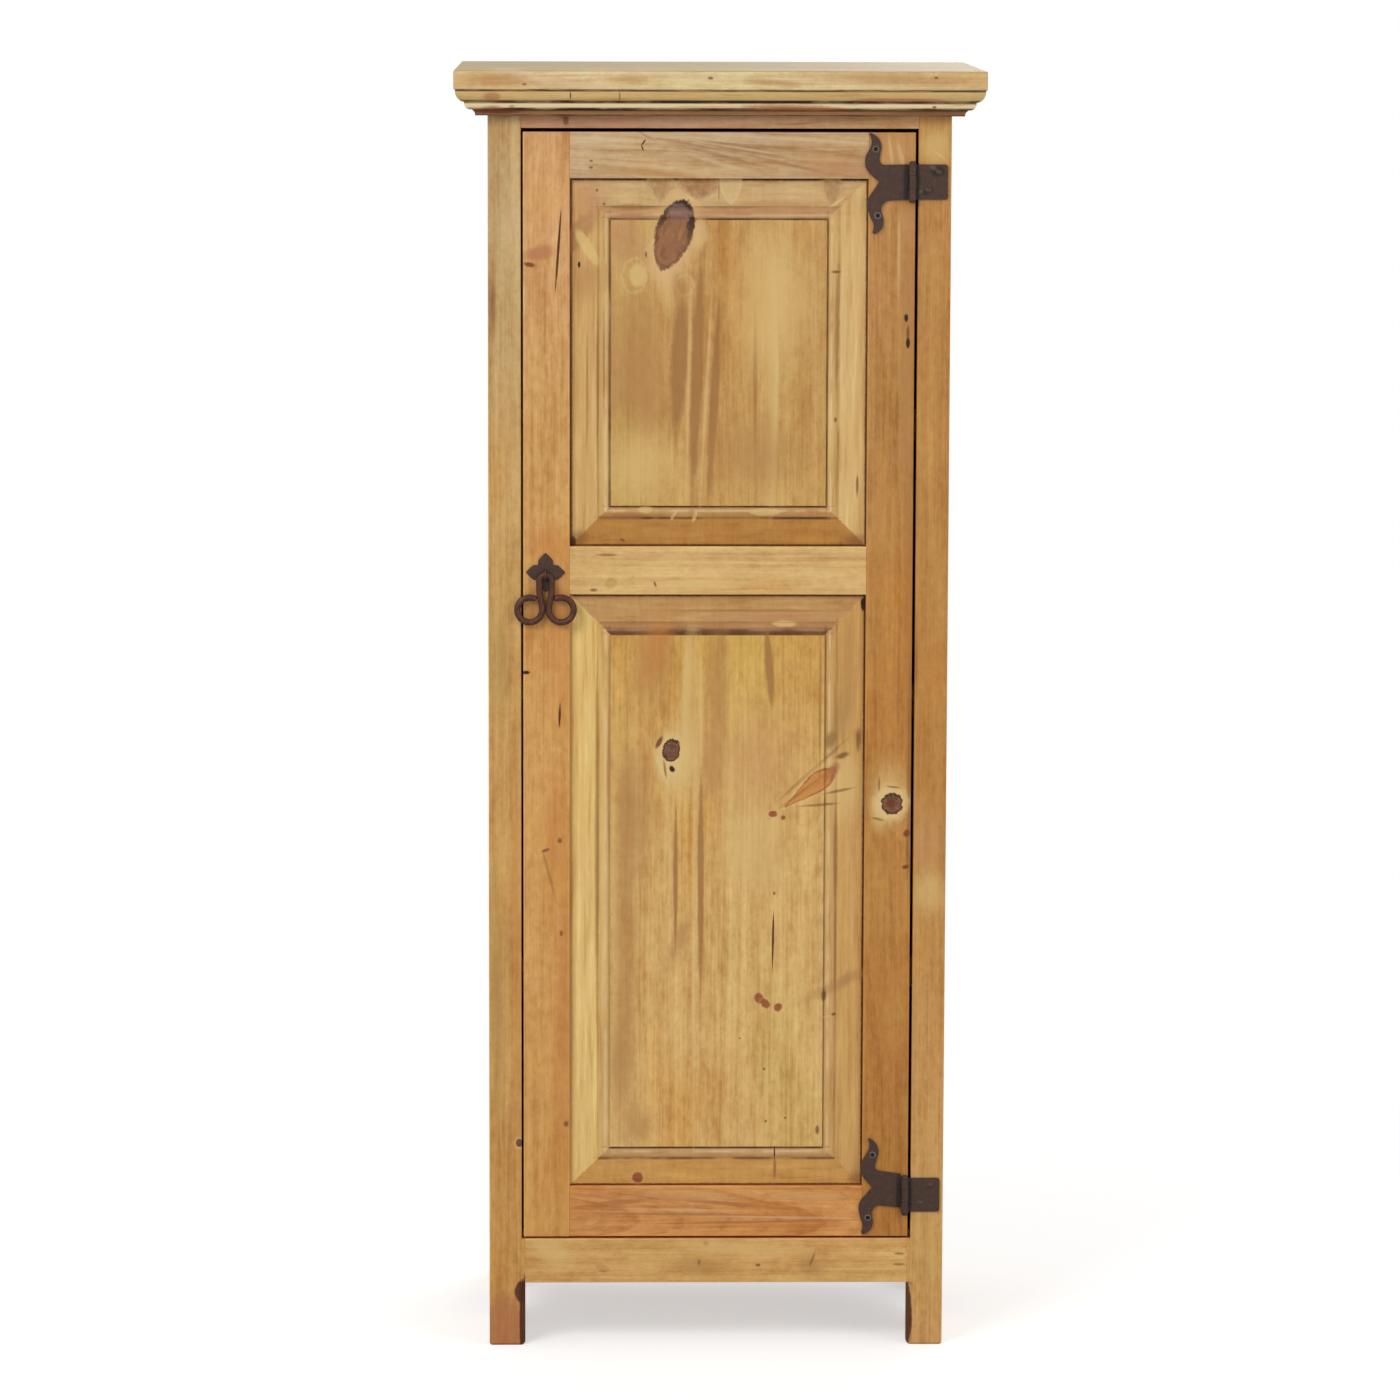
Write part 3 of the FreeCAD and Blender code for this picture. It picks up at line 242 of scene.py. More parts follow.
# %% Groups with named inputs
def new_group(name, inputs, outputs):
    """A node group with named inputs, given as (name, kind, default), and named outputs."""
    tree = bpy.data.node_groups.new(name, "ShaderNodeTree")
    kinds = {"number": "NodeSocketFloat", "place": "NodeSocketVector", "colour": "NodeSocketColor"}
    for label, kind, default in inputs:
        socket = tree.interface.new_socket(label, in_out="INPUT", socket_type=kinds[kind])
        if default is not None:
            socket.default_value = default
    for label, kind in outputs:
        tree.interface.new_socket(label, in_out="OUTPUT", socket_type=kinds[kind])
    return tree, tree.nodes.new("NodeGroupInput").outputs, tree.nodes.new("NodeGroupOutput").inputs


def use_group(wires, tree, **values):
    """Place a group in a tree; an underscore in a name stands for a space."""
    named = {name.replace("_", " ").capitalize(): value for name, value in values.items()}
    return wires.fed("ShaderNodeGroup", named, node_tree=tree)


print("groups can be made")

# %% [markdown]
# ## How pine grows
# A board shows its tree's growth rings, which are nearly round tubes about the heart of the
# trunk. A picture of grain slides wrongly round a corner, but a solid pattern cuts through the
# board as the saw did, so the face shows long arches and the end shows curved lines. The rings
# are distances from a heart line that leans away along the board, as a tapering trunk does, and
# wanders a little. Each ring darkens slowly towards its late wood and ends sharply. Good and bad
# years give wide bands of straw and amber, old drips of resin give straight streaks, and fine
# fibres run along the board on top of them. Soft and hard spots a few millimetres wide take the
# stain unevenly, which is what makes wood look like wood from across a room. The place comes in as
# across the board, into the board and along it, in metres from the middle of the board.

# %% Growth rings and fibres
# Each pattern has its patches to a metre across, into and along the board, its detail and its
# roughness.
PATTERNS = {
    "Straight": ((90, 90, 1.6), 3.0, 0.6), "Streak": ((260, 260, 6.0), 2.0, 0.6),
    "Fibre": ((520, 520, 24), 3.0, 0.65), "Cloud": ((24, 24, 9), 4.0, 0.62),
    "Mottle": ((130, 130, 70), 3.0, 0.65), "Hue": ((8, 8, 3), 3.0, 0.6)}
HEART_WANDERS = 0.045
RING_WAVERS = 0.0042
BAND_OF_YEARS = 0.011

pine_rings, given, handed = new_group(
    "pine_rings",
    [("Place", "place", None), ("Seed", "place", (0, 0, 0)), ("Heart across", "number", 0.0),
     ("Heart depth", "number", 0.09), ("Lean", "number", 0.01), ("Rise", "number", 0.03),
     ("Ring width", "number", 0.0045), ("Push", "number", 0.0)],
    [(label, "number") for label in ("Late wood", "Years", *PATTERNS, "Fleck")])
w = Wiring(pine_rings)
seeded = w.move(given["Place"], given["Seed"])
wander = w.patches(seeded, (3, 3, 1.1), 1.0, 0.5)
ripple = w.patches(seeded, (60, 60, 8), 2.0, 0.5)
across, depth, along = w.apart(given["Place"])
heart_x = w.add(given["Heart across"], w.times(along, given["Lean"]))
heart_y = w.add(given["Heart depth"], w.both_ways(wander, HEART_WANDERS),
                w.times(along, given["Rise"]))
flat = w.math("POWER", w.minus(across, heart_x), 2.0)
deep = w.math("POWER", w.minus(depth, heart_y), 2.0)
radius = w.add(w.math("SQRT", w.add(flat, deep)), w.both_ways(ripple, RING_WAVERS), given["Push"])

rings = w.over(radius, given["Ring width"])
inside_ring = w.math("FRACT", rings)
darkening = w.math("POWER", inside_ring, 2.0)
sharp_end = w.band(inside_ring, 0.90, 1.0, 1.0, 0.0)
each_ring = w.fed("ShaderNodeTexWhiteNoise", {"W": w.math("FLOOR", rings)}, noise_dimensions="1D")
strong = w.band(each_ring["Value"], 0.0, 1.0, 0.15, 1.0)
w.feed(handed["Late wood"], w.times(darkening, sharp_end, strong))
years = w.together(w.over(radius, BAND_OF_YEARS), 0.0, w.times(along, 0.8))
w.feed(handed["Years"], w.noise(years, 1.0, 2.0, 0.6))
for label, (per_metre, detail, rough) in PATTERNS.items():
    w.feed(handed[label], w.patches(seeded, per_metre, detail, rough))
w.feed(handed["Fleck"], w.band(w.patches(seeded, (420, 420, 130), 2.0, 0.7), 0.60, 0.72))
print("pine_rings has", len(pine_rings.nodes), "nodes")

# %% [markdown]
# ## Knots and other marks
# A knot is where a branch left the trunk. It is an oval of darker wood with a black rim of bark,
# a pale halo about it, and the rings bend round it. A crack, a resin streak or a spot of stain is
# an oval too, only thinner, softer or paler. So two groups draw them all. Each measures how far a
# place is from the middle of an oval in units of that oval, and lays colour inside. The one for
# knots also has a rim, a halo and a lively core. The shape can be pulled to two points, or made
# narrow at one end like a drop, as where a branch was cut at a slant. The edge is broken up
# twice, once by slow blotches and once by the fibres of the wood, because a clean oval looks
# painted on. Both patterns are worked out once for the whole board and handed to every mark,
# since a renderer can hold only so many numbers at a time.

# %% Measuring a mark
MARK_INPUTS = [
    ("Colour", "colour", None), ("X", "number", 0.0), ("Z", "number", 0.0),
    ("Fibres", "number", 0.5), ("Blotches", "number", 0.5), ("Middle x", "number", 0.0),
    ("Middle z", "number", 0.0), ("Half width", "number", 0.01), ("Half height", "number", 0.01),
    ("Turn", "number", 0.0), ("Pointed", "number", 0.0), ("Taper", "number", 0.0),
    ("Soft", "number", 0.1), ("Rough edge", "number", 0.2), ("Fade", "number", 0.0),
    ("Core", "colour", None), ("Core share", "number", 1.0)]
RIM_INPUTS = [("Rim", "colour", None), ("Rim share", "number", 0.0), ("Rim top", "number", 0.0),
              ("Halo share", "number", 0.0)]
FIBRES_AT_EDGE = 0.35


def measure_mark(w, given):
    """How far a place is across and along a mark, and from its middle, in units of the mark."""
    dx = w.minus(given["X"], given["Middle x"])
    dz = w.minus(given["Z"], given["Middle z"])
    cosine = w.math("COSINE", given["Turn"])
    sine = w.math("SINE", given["Turn"])
    turned_x = w.minus(w.times(dx, cosine), w.times(dz, sine))
    turned_z = w.add(w.times(dx, sine), w.times(dz, cosine))
    v = w.over(turned_z, given["Half height"])
    wide = w.add(1.0, w.times(w.band(v, -1.0, 1.0, -1.0, 1.0), given["Taper"]))
    u = w.over(w.over(turned_x, given["Half width"]), wide)
    oval = w.math("SQRT", w.add(w.times(u, u), w.times(v, v)))
    leaf = w.add(w.math("ABSOLUTE", u), w.times(v, v))
    reach = w.add(w.times(leaf, given["Pointed"]), w.times(oval, w.minus(1.0, given["Pointed"])))
    return u, v, oval, reach


def break_edge(w, given, reach, own):
    """Roughen the edge by a slow noise and by the fibres, then say how far inside a place is."""
    broken = w.add(w.both_ways(own, given["Rough edge"]),
                   w.both_ways(given["Fibres"], FIBRES_AT_EDGE))
    reach = w.add(reach, broken)
    inside = w.band(reach, w.minus(1.0, given["Soft"]), w.add(1.0, given["Soft"]), 1.0, 0.0)
    return broken, reach, inside


print(len(MARK_INPUTS), "dials on every mark,", len(RIM_INPUTS), "more on a knot")

# %% The light group
soft_mark, given, handed = new_group("soft_mark", MARK_INPUTS, [("Colour", "colour")])
w = Wiring(soft_mark)
u, _, _, reach = measure_mark(w, given)
_, _, inside = break_edge(w, given, reach, given["Blotches"])
one_side = w.minus(1.0, w.times(given["Fade"], w.band(u, -0.9, 0.9)))
cover = w.times(inside, one_side, given["Core share"])
w.feed(handed["Colour"], w.blend(cover, given["Colour"], given["Core"]))
print("soft_mark has", len(soft_mark.nodes), "nodes")

# %% The group for knots
LIVE_WOOD = (206, 160, 112)
PALE_WOOD = (224, 186, 122)
knot_mark, given, handed = new_group("knot_mark", MARK_INPUTS + RIM_INPUTS, [("Colour", "colour")])
w = Wiring(knot_mark)
u, v, oval, reach = measure_mark(w, given)
own = w.noise(w.together(u, given["Middle z"], v), 2.2, 3.0, 0.6)
swirl = w.noise(w.together(w.times(oval, 1.5), given["Middle x"], v), 3.0, 3.0, 0.7)
broken, reach, inside = break_edge(w, given, reach, own)
core = w.blend(w.band(own, 0.40, 0.66, 0.0, 0.45), given["Core"],
               w.blend(0.6, given["Core"], given["Rim"]))
core = w.blend(w.band(swirl, 0.46, 0.66, 0.0, 0.5), core,
               w.blend(0.35, given["Core"], tone(*LIVE_WOOD)))
upper = w.times(w.band(v, -0.35, 0.75), given["Rim top"])
rim_in = w.band(w.add(reach, w.times(upper, 0.24), w.both_ways(own, 0.4)), 0.78, 0.90)
rim_out = w.band(reach, 0.96, 1.06, 1.0, 0.0)
rim_where = w.math("MINIMUM", w.add(upper, w.minus(1.0, given["Rim top"])), 1.0)
rim = w.times(rim_in, rim_out, w.times(given["Rim share"], rim_where))
halo = w.times(w.band(w.add(reach, broken), 0.95, 1.9, 1.0, 0.0), given["Halo share"])
colour = w.blend(halo, given["Colour"], w.blend(0.7, given["Colour"], tone(*PALE_WOOD)))
colour = w.blend(w.times(inside, given["Core share"]), colour, core)
w.feed(handed["Colour"], w.blend(rim, colour, given["Rim"]))
print("knot_mark has", len(knot_mark.nodes), "nodes")

# %% [markdown]
# ### What each kind of mark looks like
# A joiner names marks by eye: a dead knot with bark round it, a live red knot, a crack, a streak
# of paler sapwood. Each name stands for a core colour, a rim colour, and how soft its edge is.

# %% Kinds of marks
MARKS = {
    "dead_knot": dict(core=(112, 74, 52), rim=(58, 32, 20), rim_share=0.9, soft=0.10,
                      rough_edge=0.45, halo_share=0.8),
    "slant_knot": dict(core=(150, 102, 68), rim=(46, 26, 22), rim_share=1.0, rim_top=0.75,
                       soft=0.06, rough_edge=0.22, pointed=0.30, taper=0.10, halo_share=0.45),
    "knot_grey": dict(core=(136, 104, 92), soft=0.35, rough_edge=0.5, core_share=0.8),
    "red_knot": dict(core=(156, 84, 48), rim=(118, 58, 32), rim_share=0.5, soft=0.3,
                     rough_edge=0.7, halo_share=0.3),
    "faint_knot": dict(core=(186, 140, 84), rim=(160, 112, 62), rim_share=0.35, soft=0.4,
                       rough_edge=0.8, core_share=0.5),
    "ring": dict(core=(200, 158, 104), rim=(224, 190, 134), rim_share=0.28, core_share=0.10,
                 rough_edge=0.5, soft=0.3),
    "spike": dict(core=(206, 134, 64), rim=(142, 78, 36), rim_share=0.6, soft=0.08, taper=0.6,
                  rough_edge=0.2, pointed=0.35, core_share=0.9, halo_share=0.7),
    "crack": dict(core=(84, 48, 26), soft=0.3, rough_edge=0.7, pointed=0.8),
    "speck": dict(core=(112, 70, 40), soft=0.5, rough_edge=0.8, core_share=0.8),
    "black": dict(core=(50, 28, 18), soft=0.3, rough_edge=0.7),
    "dark_red": dict(core=(112, 54, 28), soft=0.4, rough_edge=0.8, core_share=0.9),
    "branch": dict(core=(132, 98, 54), soft=0.5, rough_edge=0.8, core_share=0.75),
    "shield": dict(core=(162, 124, 78), rim=(222, 190, 140), rim_share=0.25, soft=0.18,
                   rough_edge=0.35, taper=0.45, pointed=0.25, core_share=0.8),
    "red_shield": dict(core=(150, 102, 64), rim=(220, 186, 140), rim_share=0.2, soft=0.18,
                       rough_edge=0.35, taper=0.3, pointed=0.2, core_share=0.8),
    "pale_shield": dict(core=(206, 176, 124), rim=(228, 200, 152), rim_share=0.25, soft=0.18,
                        rough_edge=0.35, taper=0.3, pointed=0.2, core_share=0.7),
    "pale": dict(core=(219, 186, 120), soft=0.25, rough_edge=0.5, core_share=0.75),
    "halo": dict(core=(234, 204, 146), soft=0.5, rough_edge=0.7, core_share=0.85),
    "blush": dict(core=(202, 150, 100), soft=0.9, rough_edge=0.8, core_share=0.5),
    "olive": dict(core=(168, 136, 78), soft=0.9, rough_edge=0.8, core_share=0.5),
    "soft_pale": dict(core=(221, 186, 120), soft=0.7, rough_edge=0.6, core_share=0.6),
    "pink_pale": dict(core=(218, 176, 128), soft=0.4, rough_edge=0.7, core_share=0.7),
    "sap": dict(core=(222, 188, 122), soft=0.25, rough_edge=0.5, core_share=0.75, fade=0.9),
    "pale_vein": dict(core=(222, 186, 124), soft=0.7, rough_edge=0.7, pointed=0.4,
                      core_share=0.5),
    "brown": dict(core=(166, 118, 72), soft=0.28, rough_edge=0.7, core_share=0.7),
    "soft_brown": dict(core=(180, 131, 78), soft=0.8, rough_edge=0.8, core_share=0.6),
    "vein": dict(core=(160, 112, 64), soft=0.35, rough_edge=0.5, pointed=0.3, core_share=0.85),
    "heart": dict(core=(176, 118, 62), soft=0.22, rough_edge=0.5, core_share=0.75, fade=0.85),
    "red": dict(core=(178, 112, 74), soft=0.4, rough_edge=0.7, core_share=0.7),
    "pink": dict(core=(188, 134, 94), soft=0.8, rough_edge=0.8, core_share=0.6),
    "orange": dict(core=(198, 126, 62), soft=0.9, rough_edge=0.8, core_share=0.5),
    # Dark marks in gaps, along the door's edges and under the cornice: painted shade, with some
    # dirt.
    "dirt": dict(core=(118, 74, 40), soft=0.8, rough_edge=0.8, core_share=0.55),
    "grain": dict(core=(146, 110, 80), soft=0.9, rough_edge=0.8, pointed=0.3, core_share=0.55),
    "pale_grain": dict(core=(216, 188, 146), soft=0.95, rough_edge=0.8, pointed=0.3,
                       core_share=0.45),
    "stripe": dict(core=(158, 110, 58), soft=0.6, rough_edge=0.7, pointed=0.4, core_share=0.65),
    "tongue": dict(core=(214, 158, 100), rim=(172, 112, 64), rim_share=0.3, soft=0.12,
                   rough_edge=0.3, pointed=0.5, core_share=0.6),
    "red_line": dict(core=(170, 108, 62), soft=0.6, rough_edge=0.6, pointed=0.5, core_share=0.7),
    # Painted shade on the inner edge of a leg, where the leg's inner face and the leg behind it
    # lie in shadow.
    "scoop": dict(core=(84, 46, 28), soft=0.12, rough_edge=0.25, core_share=0.95),
    # Near-black on iron: dark patches by the nails, and painted shade by the barrel and the door
    # gap.
    "grime": dict(core=(26, 17, 14), soft=0.4, rough_edge=0.8, core_share=0.85),
    "scuff": dict(core=(114, 96, 86), soft=0.6, rough_edge=0.9, core_share=0.5),
}
print(len(MARKS), "kinds of marks")

# %% [markdown]
# ### Where the marks are
# Places are in millimetres on the front of the cabinet: to the right of its middle and up from
# the floor, then the half width, the half height and the turn in degrees. Marks lie on their own
# board only, because each board has its own material. The first ones in a list lie lowest, so a
# board gets its broad clouds and veins first, then its knots, and last the cracks and specks.

# %% Marks on the upper panel
PLACES = {}
PLACES["door_panel_upper"] = [
    ("soft_brown", -100.0, 1190.0, 30.0, 70.0, 0), ("pink", -106.8, 1308.0, 18.0, 26.0, 0),
    ("soft_brown", -88.0, 1130.0, 26.0, 40.0, 0), ("vein", -46.5, 1165.0, 10.0, 82.0, 3),
    ("pale_vein", -35.0, 1160.0, 1.8, 110.0, 1), ("vein", -26.0, 1150.0, 6.5, 140.0, 2),
    ("pale_vein", -15.5, 1120.0, 1.8, 120.0, 3), ("vein", -6.0, 1120.0, 5.0, 110.0, 3),
    ("stripe", -2.0, 1200.0, 2.0, 46.0, 2), ("stripe", 42.0, 1160.0, 2.4, 80.0, 0),
    ("sap", 60.0, 1150.0, 9.0, 150.0, 180), ("soft_brown", 40.0, 1060.0, 44.0, 34.0, 0),
    ("soft_pale", 62.0, 1240.0, 40.0, 70.0, 0), ("soft_pale", -92.0, 1046.0, 34.0, 34.0, 0),
    ("soft_pale", -61.0, 1258.0, 9.0, 26.0, -8), ("pink_pale", -23.0, 1315.0, 8.0, 17.0, 8),
    ("pink_pale", -56.5, 1298.0, 23.0, 36.0, 18),
    ("slant_knot", -53.5, 1315.0, 21.5, 43.0, 18), ("knot_grey", -47.0, 1341.0, 14.0, 9.5, 8),
    ("ring", -98.0, 1267.5, 15.5, 21.0, 0), ("pale", -94.5, 1268.6, 9.8, 13.6, -6),
    ("ring", -40.0, 1256.7, 11.0, 12.5, 0), ("soft_brown", -45.5, 1252.0, 8.0, 9.5, 0),
    ("shield", -68.5, 1370.0, 14.0, 17.0, 0), ("red_shield", -23.0, 1372.0, 23.5, 16.0, 0),
    ("pale_shield", 13.0, 1369.0, 12.5, 18.0, 0), ("shield", 130.5, 1366.0, 11.5, 17.0, 0),
    ("soft_brown", 78.0, 1350.0, 44.0, 4.6, 0), ("stripe", -0.8, 1366.0, 1.0, 12.0, 0),
    ("stripe", -102.6, 1347.0, 23.0, 3.6, 0), ("pink", -97.2, 1337.2, 25.0, 3.8, 0),
    ("pink", 52.0, 1340.5, 72.0, 3.0, 0), ("pale_grain", 60.0, 1336.8, 64.0, 1.6, 0),
    ("pink", -12.8, 1339.0, 12.9, 3.2, 0), ("brown", -163.5, 1316.0, 11.0, 30.0, 34),
    ("soft_brown", -155.0, 1262.0, 16.0, 24.0, 20), ("pink", -150.0, 1350.0, 16.0, 22.0, 0),
    ("pale", -152.7, 1300.4, 6.4, 24.5, -32), ("black", -162.4, 1280.5, 1.5, 3.4, 0),
    ("stripe", -153.0, 1140.0, 1.3, 60.0, 0), ("stripe", -140.9, 1150.2, 1.7, 90.0, 0),
    ("stripe", -133.6, 1170.0, 1.1, 60.0, 0), ("pale_vein", -129.4, 1223.4, 2.6, 30.7, 0),
    ("pale_vein", -146.0, 1110.0, 2.2, 60.0, 0), ("speck", -141.7, 1366.4, 1.5, 1.8, 0),
    ("speck", -133.6, 1350.7, 1.5, 1.8, 0), ("stripe", 136.5, 1205.0, 2.6, 66.0, 0),
    ("speck", 135.0, 1272.7, 5.1, 1.6, 0), ("pale", 136.4, 1353.5, 11.0, 1.5, -35),
    ("speck", -85.0, 1292.3, 1.2, 3.5, 0), ("red", -107.3, 987.9, 21.0, 4.1, 0),
    ("stripe", -108.0, 986.0, 14.0, 2.0, 0), ("pale", -85.1, 995.5, 8.2, 4.2, 0),
    ("pale", 54.0, 993.0, 18.0, 4.2, 0), ("pale", -51.9, 989.7, 2.2, 7.0, 30),
    ("pale", -27.5, 987.9, 2.2, 7.0, 20), ("speck", -111.9, 959.9, 2.9, 1.4, 20),
    # The black and dark marks at the two lower corners are painted shade in the open gaps there,
    # with some dirt.
    ("black", -169.5, 957.5, 3.5, 6.4, 0), ("dirt", -162.0, 962.0, 10.0, 9.0, 0),
    ("dirt", 160.0, 960.0, 12.0, 6.0, 0), ("speck", 161.5, 1023.8, 1.4, 11.7, 0),
    ("speck", 135.5, 1101.0, 1.6, 2.6, 0)]
print(sum(map(len, PLACES.values())), "marks so far, after the upper panel")

# %% Marks on the lower panel
PLACES["door_panel_lower"] = [
    ("soft_brown", -78.0, 812.0, 20.0, 48.0, 8), ("orange", -72.0, 832.0, 13.0, 34.0, 10),
    ("soft_brown", -108.0, 480.0, 14.0, 200.0, 0), ("soft_brown", -96.0, 640.0, 22.0, 60.0, 0),
    ("soft_brown", 0.0, 790.0, 13.0, 62.0, 0), ("soft_brown", -7.5, 700.0, 11.0, 40.0, 0),
    ("sap", -29.0, 765.0, 13.0, 92.0, 0), ("pale_vein", -20.0, 740.0, 2.0, 90.0, 0),
    ("pale_vein", -27.0, 480.0, 2.0, 230.0, 0), ("vein", -19.5, 560.0, 3.6, 130.0, 0),
    ("pale_vein", -66.0, 690.0, 2.2, 34.0, -22), ("pale_vein", -56.0, 600.0, 2.0, 70.0, -3),
    ("vein", -49.0, 560.0, 2.4, 90.0, 0), ("soft_brown", -43.0, 490.0, 8.0, 30.0, 20),
    ("soft_brown", 152.0, 800.0, 9.0, 70.0, 0), ("soft_pale", 43.6, 600.0, 36.0, 52.0, 0),
    ("blush", 44.0, 700.0, 44.0, 50.0, 30), ("vein", 60.0, 810.0, 5.0, 46.0, -4),
    ("soft_pale", 150.0, 668.0, 18.0, 34.0, 0), ("halo", -56.0, 704.0, 15.0, 26.0, 0),
    ("soft_pale", -46.6, 701.5, 20.0, 38.0, 0),
    ("dead_knot", -54.4, 712.6, 10.2, 13.4, 10), ("black", -53.4, 690.6, 3.0, 4.4, -35),
    ("branch", -61.8, 691.0, 1.5, 9.6, -8), ("dark_red", -68.6, 722.6, 2.6, 7.4, 28),
    ("stripe", 112.0, 690.0, 2.2, 52.0, 48), ("spike", 108.0, 668.0, 9.6, 38.0, 52.7),
    ("stripe", 96.0, 662.0, 1.8, 30.0, 52), ("red", 134.0, 688.0, 6.0, 12.0, 40),
    ("branch", 132.4, 725.8, 5.4, 9.8, 20), ("olive", 142.0, 748.0, 9.0, 30.0, 20),
    ("speck", 146.1, 706.2, 7.6, 3.2, -20), ("branch", 164.4, 722.0, 2.6, 12.0, 0),
    ("dirt", 165.0, 730.0, 4.0, 8.0, 0), ("branch", 142.5, 664.5, 16.6, 1.6, -10),
    ("branch", 119.3, 648.2, 20.5, 1.6, -4), ("red_knot", 64.9, 637.4, 4.8, 3.6, 0),
    ("red_knot", 77.0, 633.1, 2.6, 2.6, 0), ("stripe", 119.5, 764.5, 1.5, 82.0, 0),
    ("stripe", 138.6, 588.2, 2.6, 60.0, 0), ("stripe", 139.0, 480.0, 1.6, 60.0, 0),
    ("crack", 65.6, 487.6, 1.2, 34.6, 1), ("speck", 66.8, 543.1, 1.4, 1.9, 0),
    ("red_knot", 49.6, 417.8, 5.0, 6.4, -30), ("red_knot", 57.0, 411.5, 4.4, 6.0, -40),
    ("red_knot", 71.8, 407.2, 4.2, 5.0, 30), ("soft_brown", 138.0, 432.0, 6.0, 40.0, 66),
    ("soft_brown", 152.0, 440.0, 5.0, 12.0, 40), ("speck", 125.6, 420.7, 3.0, 6.8, 0),
    ("pale", 131.3, 396.0, 1.2, 6.7, 80), ("speck", 137.4, 398.2, 3.0, 1.8, 0),
    ("stripe", -141.3, 600.0, 2.4, 190.0, 0), ("speck", 56.0, 333.0, 1.6, 1.6, 0),
    ("speck", 27.0, 370.0, 1.2, 1.2, 0), ("speck", 58.0, 270.5, 1.5, 1.6, 0),
    ("speck", 81.0, 274.5, 1.3, 1.4, 0), ("speck", 119.0, 260.0, 2.4, 5.0, 0),
    ("soft_brown", -114.0, 350.0, 12.0, 60.0, 0), ("soft_brown", -92.0, 264.0, 18.0, 18.0, 0),
    ("red_knot", -93.0, 201.2, 6.2, 6.4, 0), ("crack", 68.6, 232.0, 0.9, 9.0, 0),
    # The dark mark at the lower right corner is painted shade in the gap there, with some dirt.
    ("vein", 69.0, 212.0, 2.0, 14.0, 0), ("dirt", 166.0, 200.0, 9.0, 8.0, 0),
    # The black mark at the upper right corner is painted shade in the open gap there.
    ("black", 170.0, 884.0, 3.4, 8.0, 0), ("pink", 60.0, 868.0, 60.0, 6.0, 0),
    ("pale", 78.0, 862.0, 14.0, 3.4, 0), ("stripe", 40.0, 877.0, 100.0, 1.6, 0)]
print(sum(map(len, PLACES.values())), "marks so far, after the lower panel")

# %% Marks on the frame of the door
PLACES["door_stile_left"] = [
    ("orange", -190.5, 609.5, 15.0, 66.2, 0), ("orange", -180.5, 396.9, 9.0, 145.0, 0),
    ("orange", -184.0, 860.0, 14.0, 90.0, 0), ("orange", -192.7, 956.5, 19.0, 20.0, 0),
    ("stripe", -197.6, 566.0, 1.6, 30.0, -15),
    ("red", -208.0, 1294.3, 17.0, 8.0, -10), ("crack", -186.5, 1298.2, 1.5, 49.1, 4),
    ("dark_red", -220.1, 1280.6, 6.5, 2.8, 10), ("black", -223.9, 804.7, 4.6, 2.3, 0),
    ("crack", -184.9, 754.7, 1.3, 15.0, 2), ("speck", -184.9, 605.8, 2.6, 3.0, 0),
    ("speck", -201.7, 594.4, 4.6, 1.8, -20), ("speck", -183.1, 495.8, 1.8, 2.8, 0),
    ("speck", -177.5, 267.7, 2.6, 3.1, 0)]
PLACES["door_stile_right"] = [
    ("heart", 220.5, 860.0, 6.0, 190.0, 180), ("red_line", 211.0, 790.0, 1.6, 60.0, 0),
    ("soft_brown", 219.0, 1150.0, 8.0, 160.0, 0), ("blush", 204.9, 1414.0, 26.0, 28.0, 0),
    ("pale_vein", 197.5, 1412.0, 2.0, 16.0, -8), ("pale_vein", 209.0, 1408.0, 2.6, 15.0, -14),
    ("blush", 217.0, 1326.0, 7.0, 16.0, 0), ("pale_vein", 207.6, 1295.0, 1.5, 46.0, 0),
    ("soft_pale", 200.9, 660.0, 19.0, 36.0, 0), ("soft_pale", 188.0, 640.0, 8.0, 20.0, 0),
    # The dark line along the edge by the door gap is painted shade, with some dirt.
    ("dirt", 224.4, 690.0, 2.4, 110.0, 0),
    ("halo", 203.6, 650.6, 18.0, 19.0, 0), ("dead_knot", 204.6, 649.6, 12.4, 12.6, 0),
    ("dark_red", 202.4, 650.0, 4.6, 5.0, 0),
    ("branch", 189.1, 672.8, 1.2, 7.9, 0), ("branch", 206.5, 669.4, 8.0, 1.3, 6),
    ("branch", 188.0, 631.5, 6.8, 1.5, 14), ("dark_red", 221.6, 614.4, 3.8, 4.4, 30),
    # Painted shade by the door gap, with some dirt.
    ("dirt", 222.6, 596.0, 1.6, 16.0, 0), ("dark_red", 220.8, 574.6, 4.2, 2.6, -12),
    ("black", 216.9, 1219.5, 2.3, 4.6, 0), ("speck", 218.9, 1201.0, 1.8, 9.3, 0),
    ("black", 219.0, 1190.5, 2.3, 5.8, 0)]
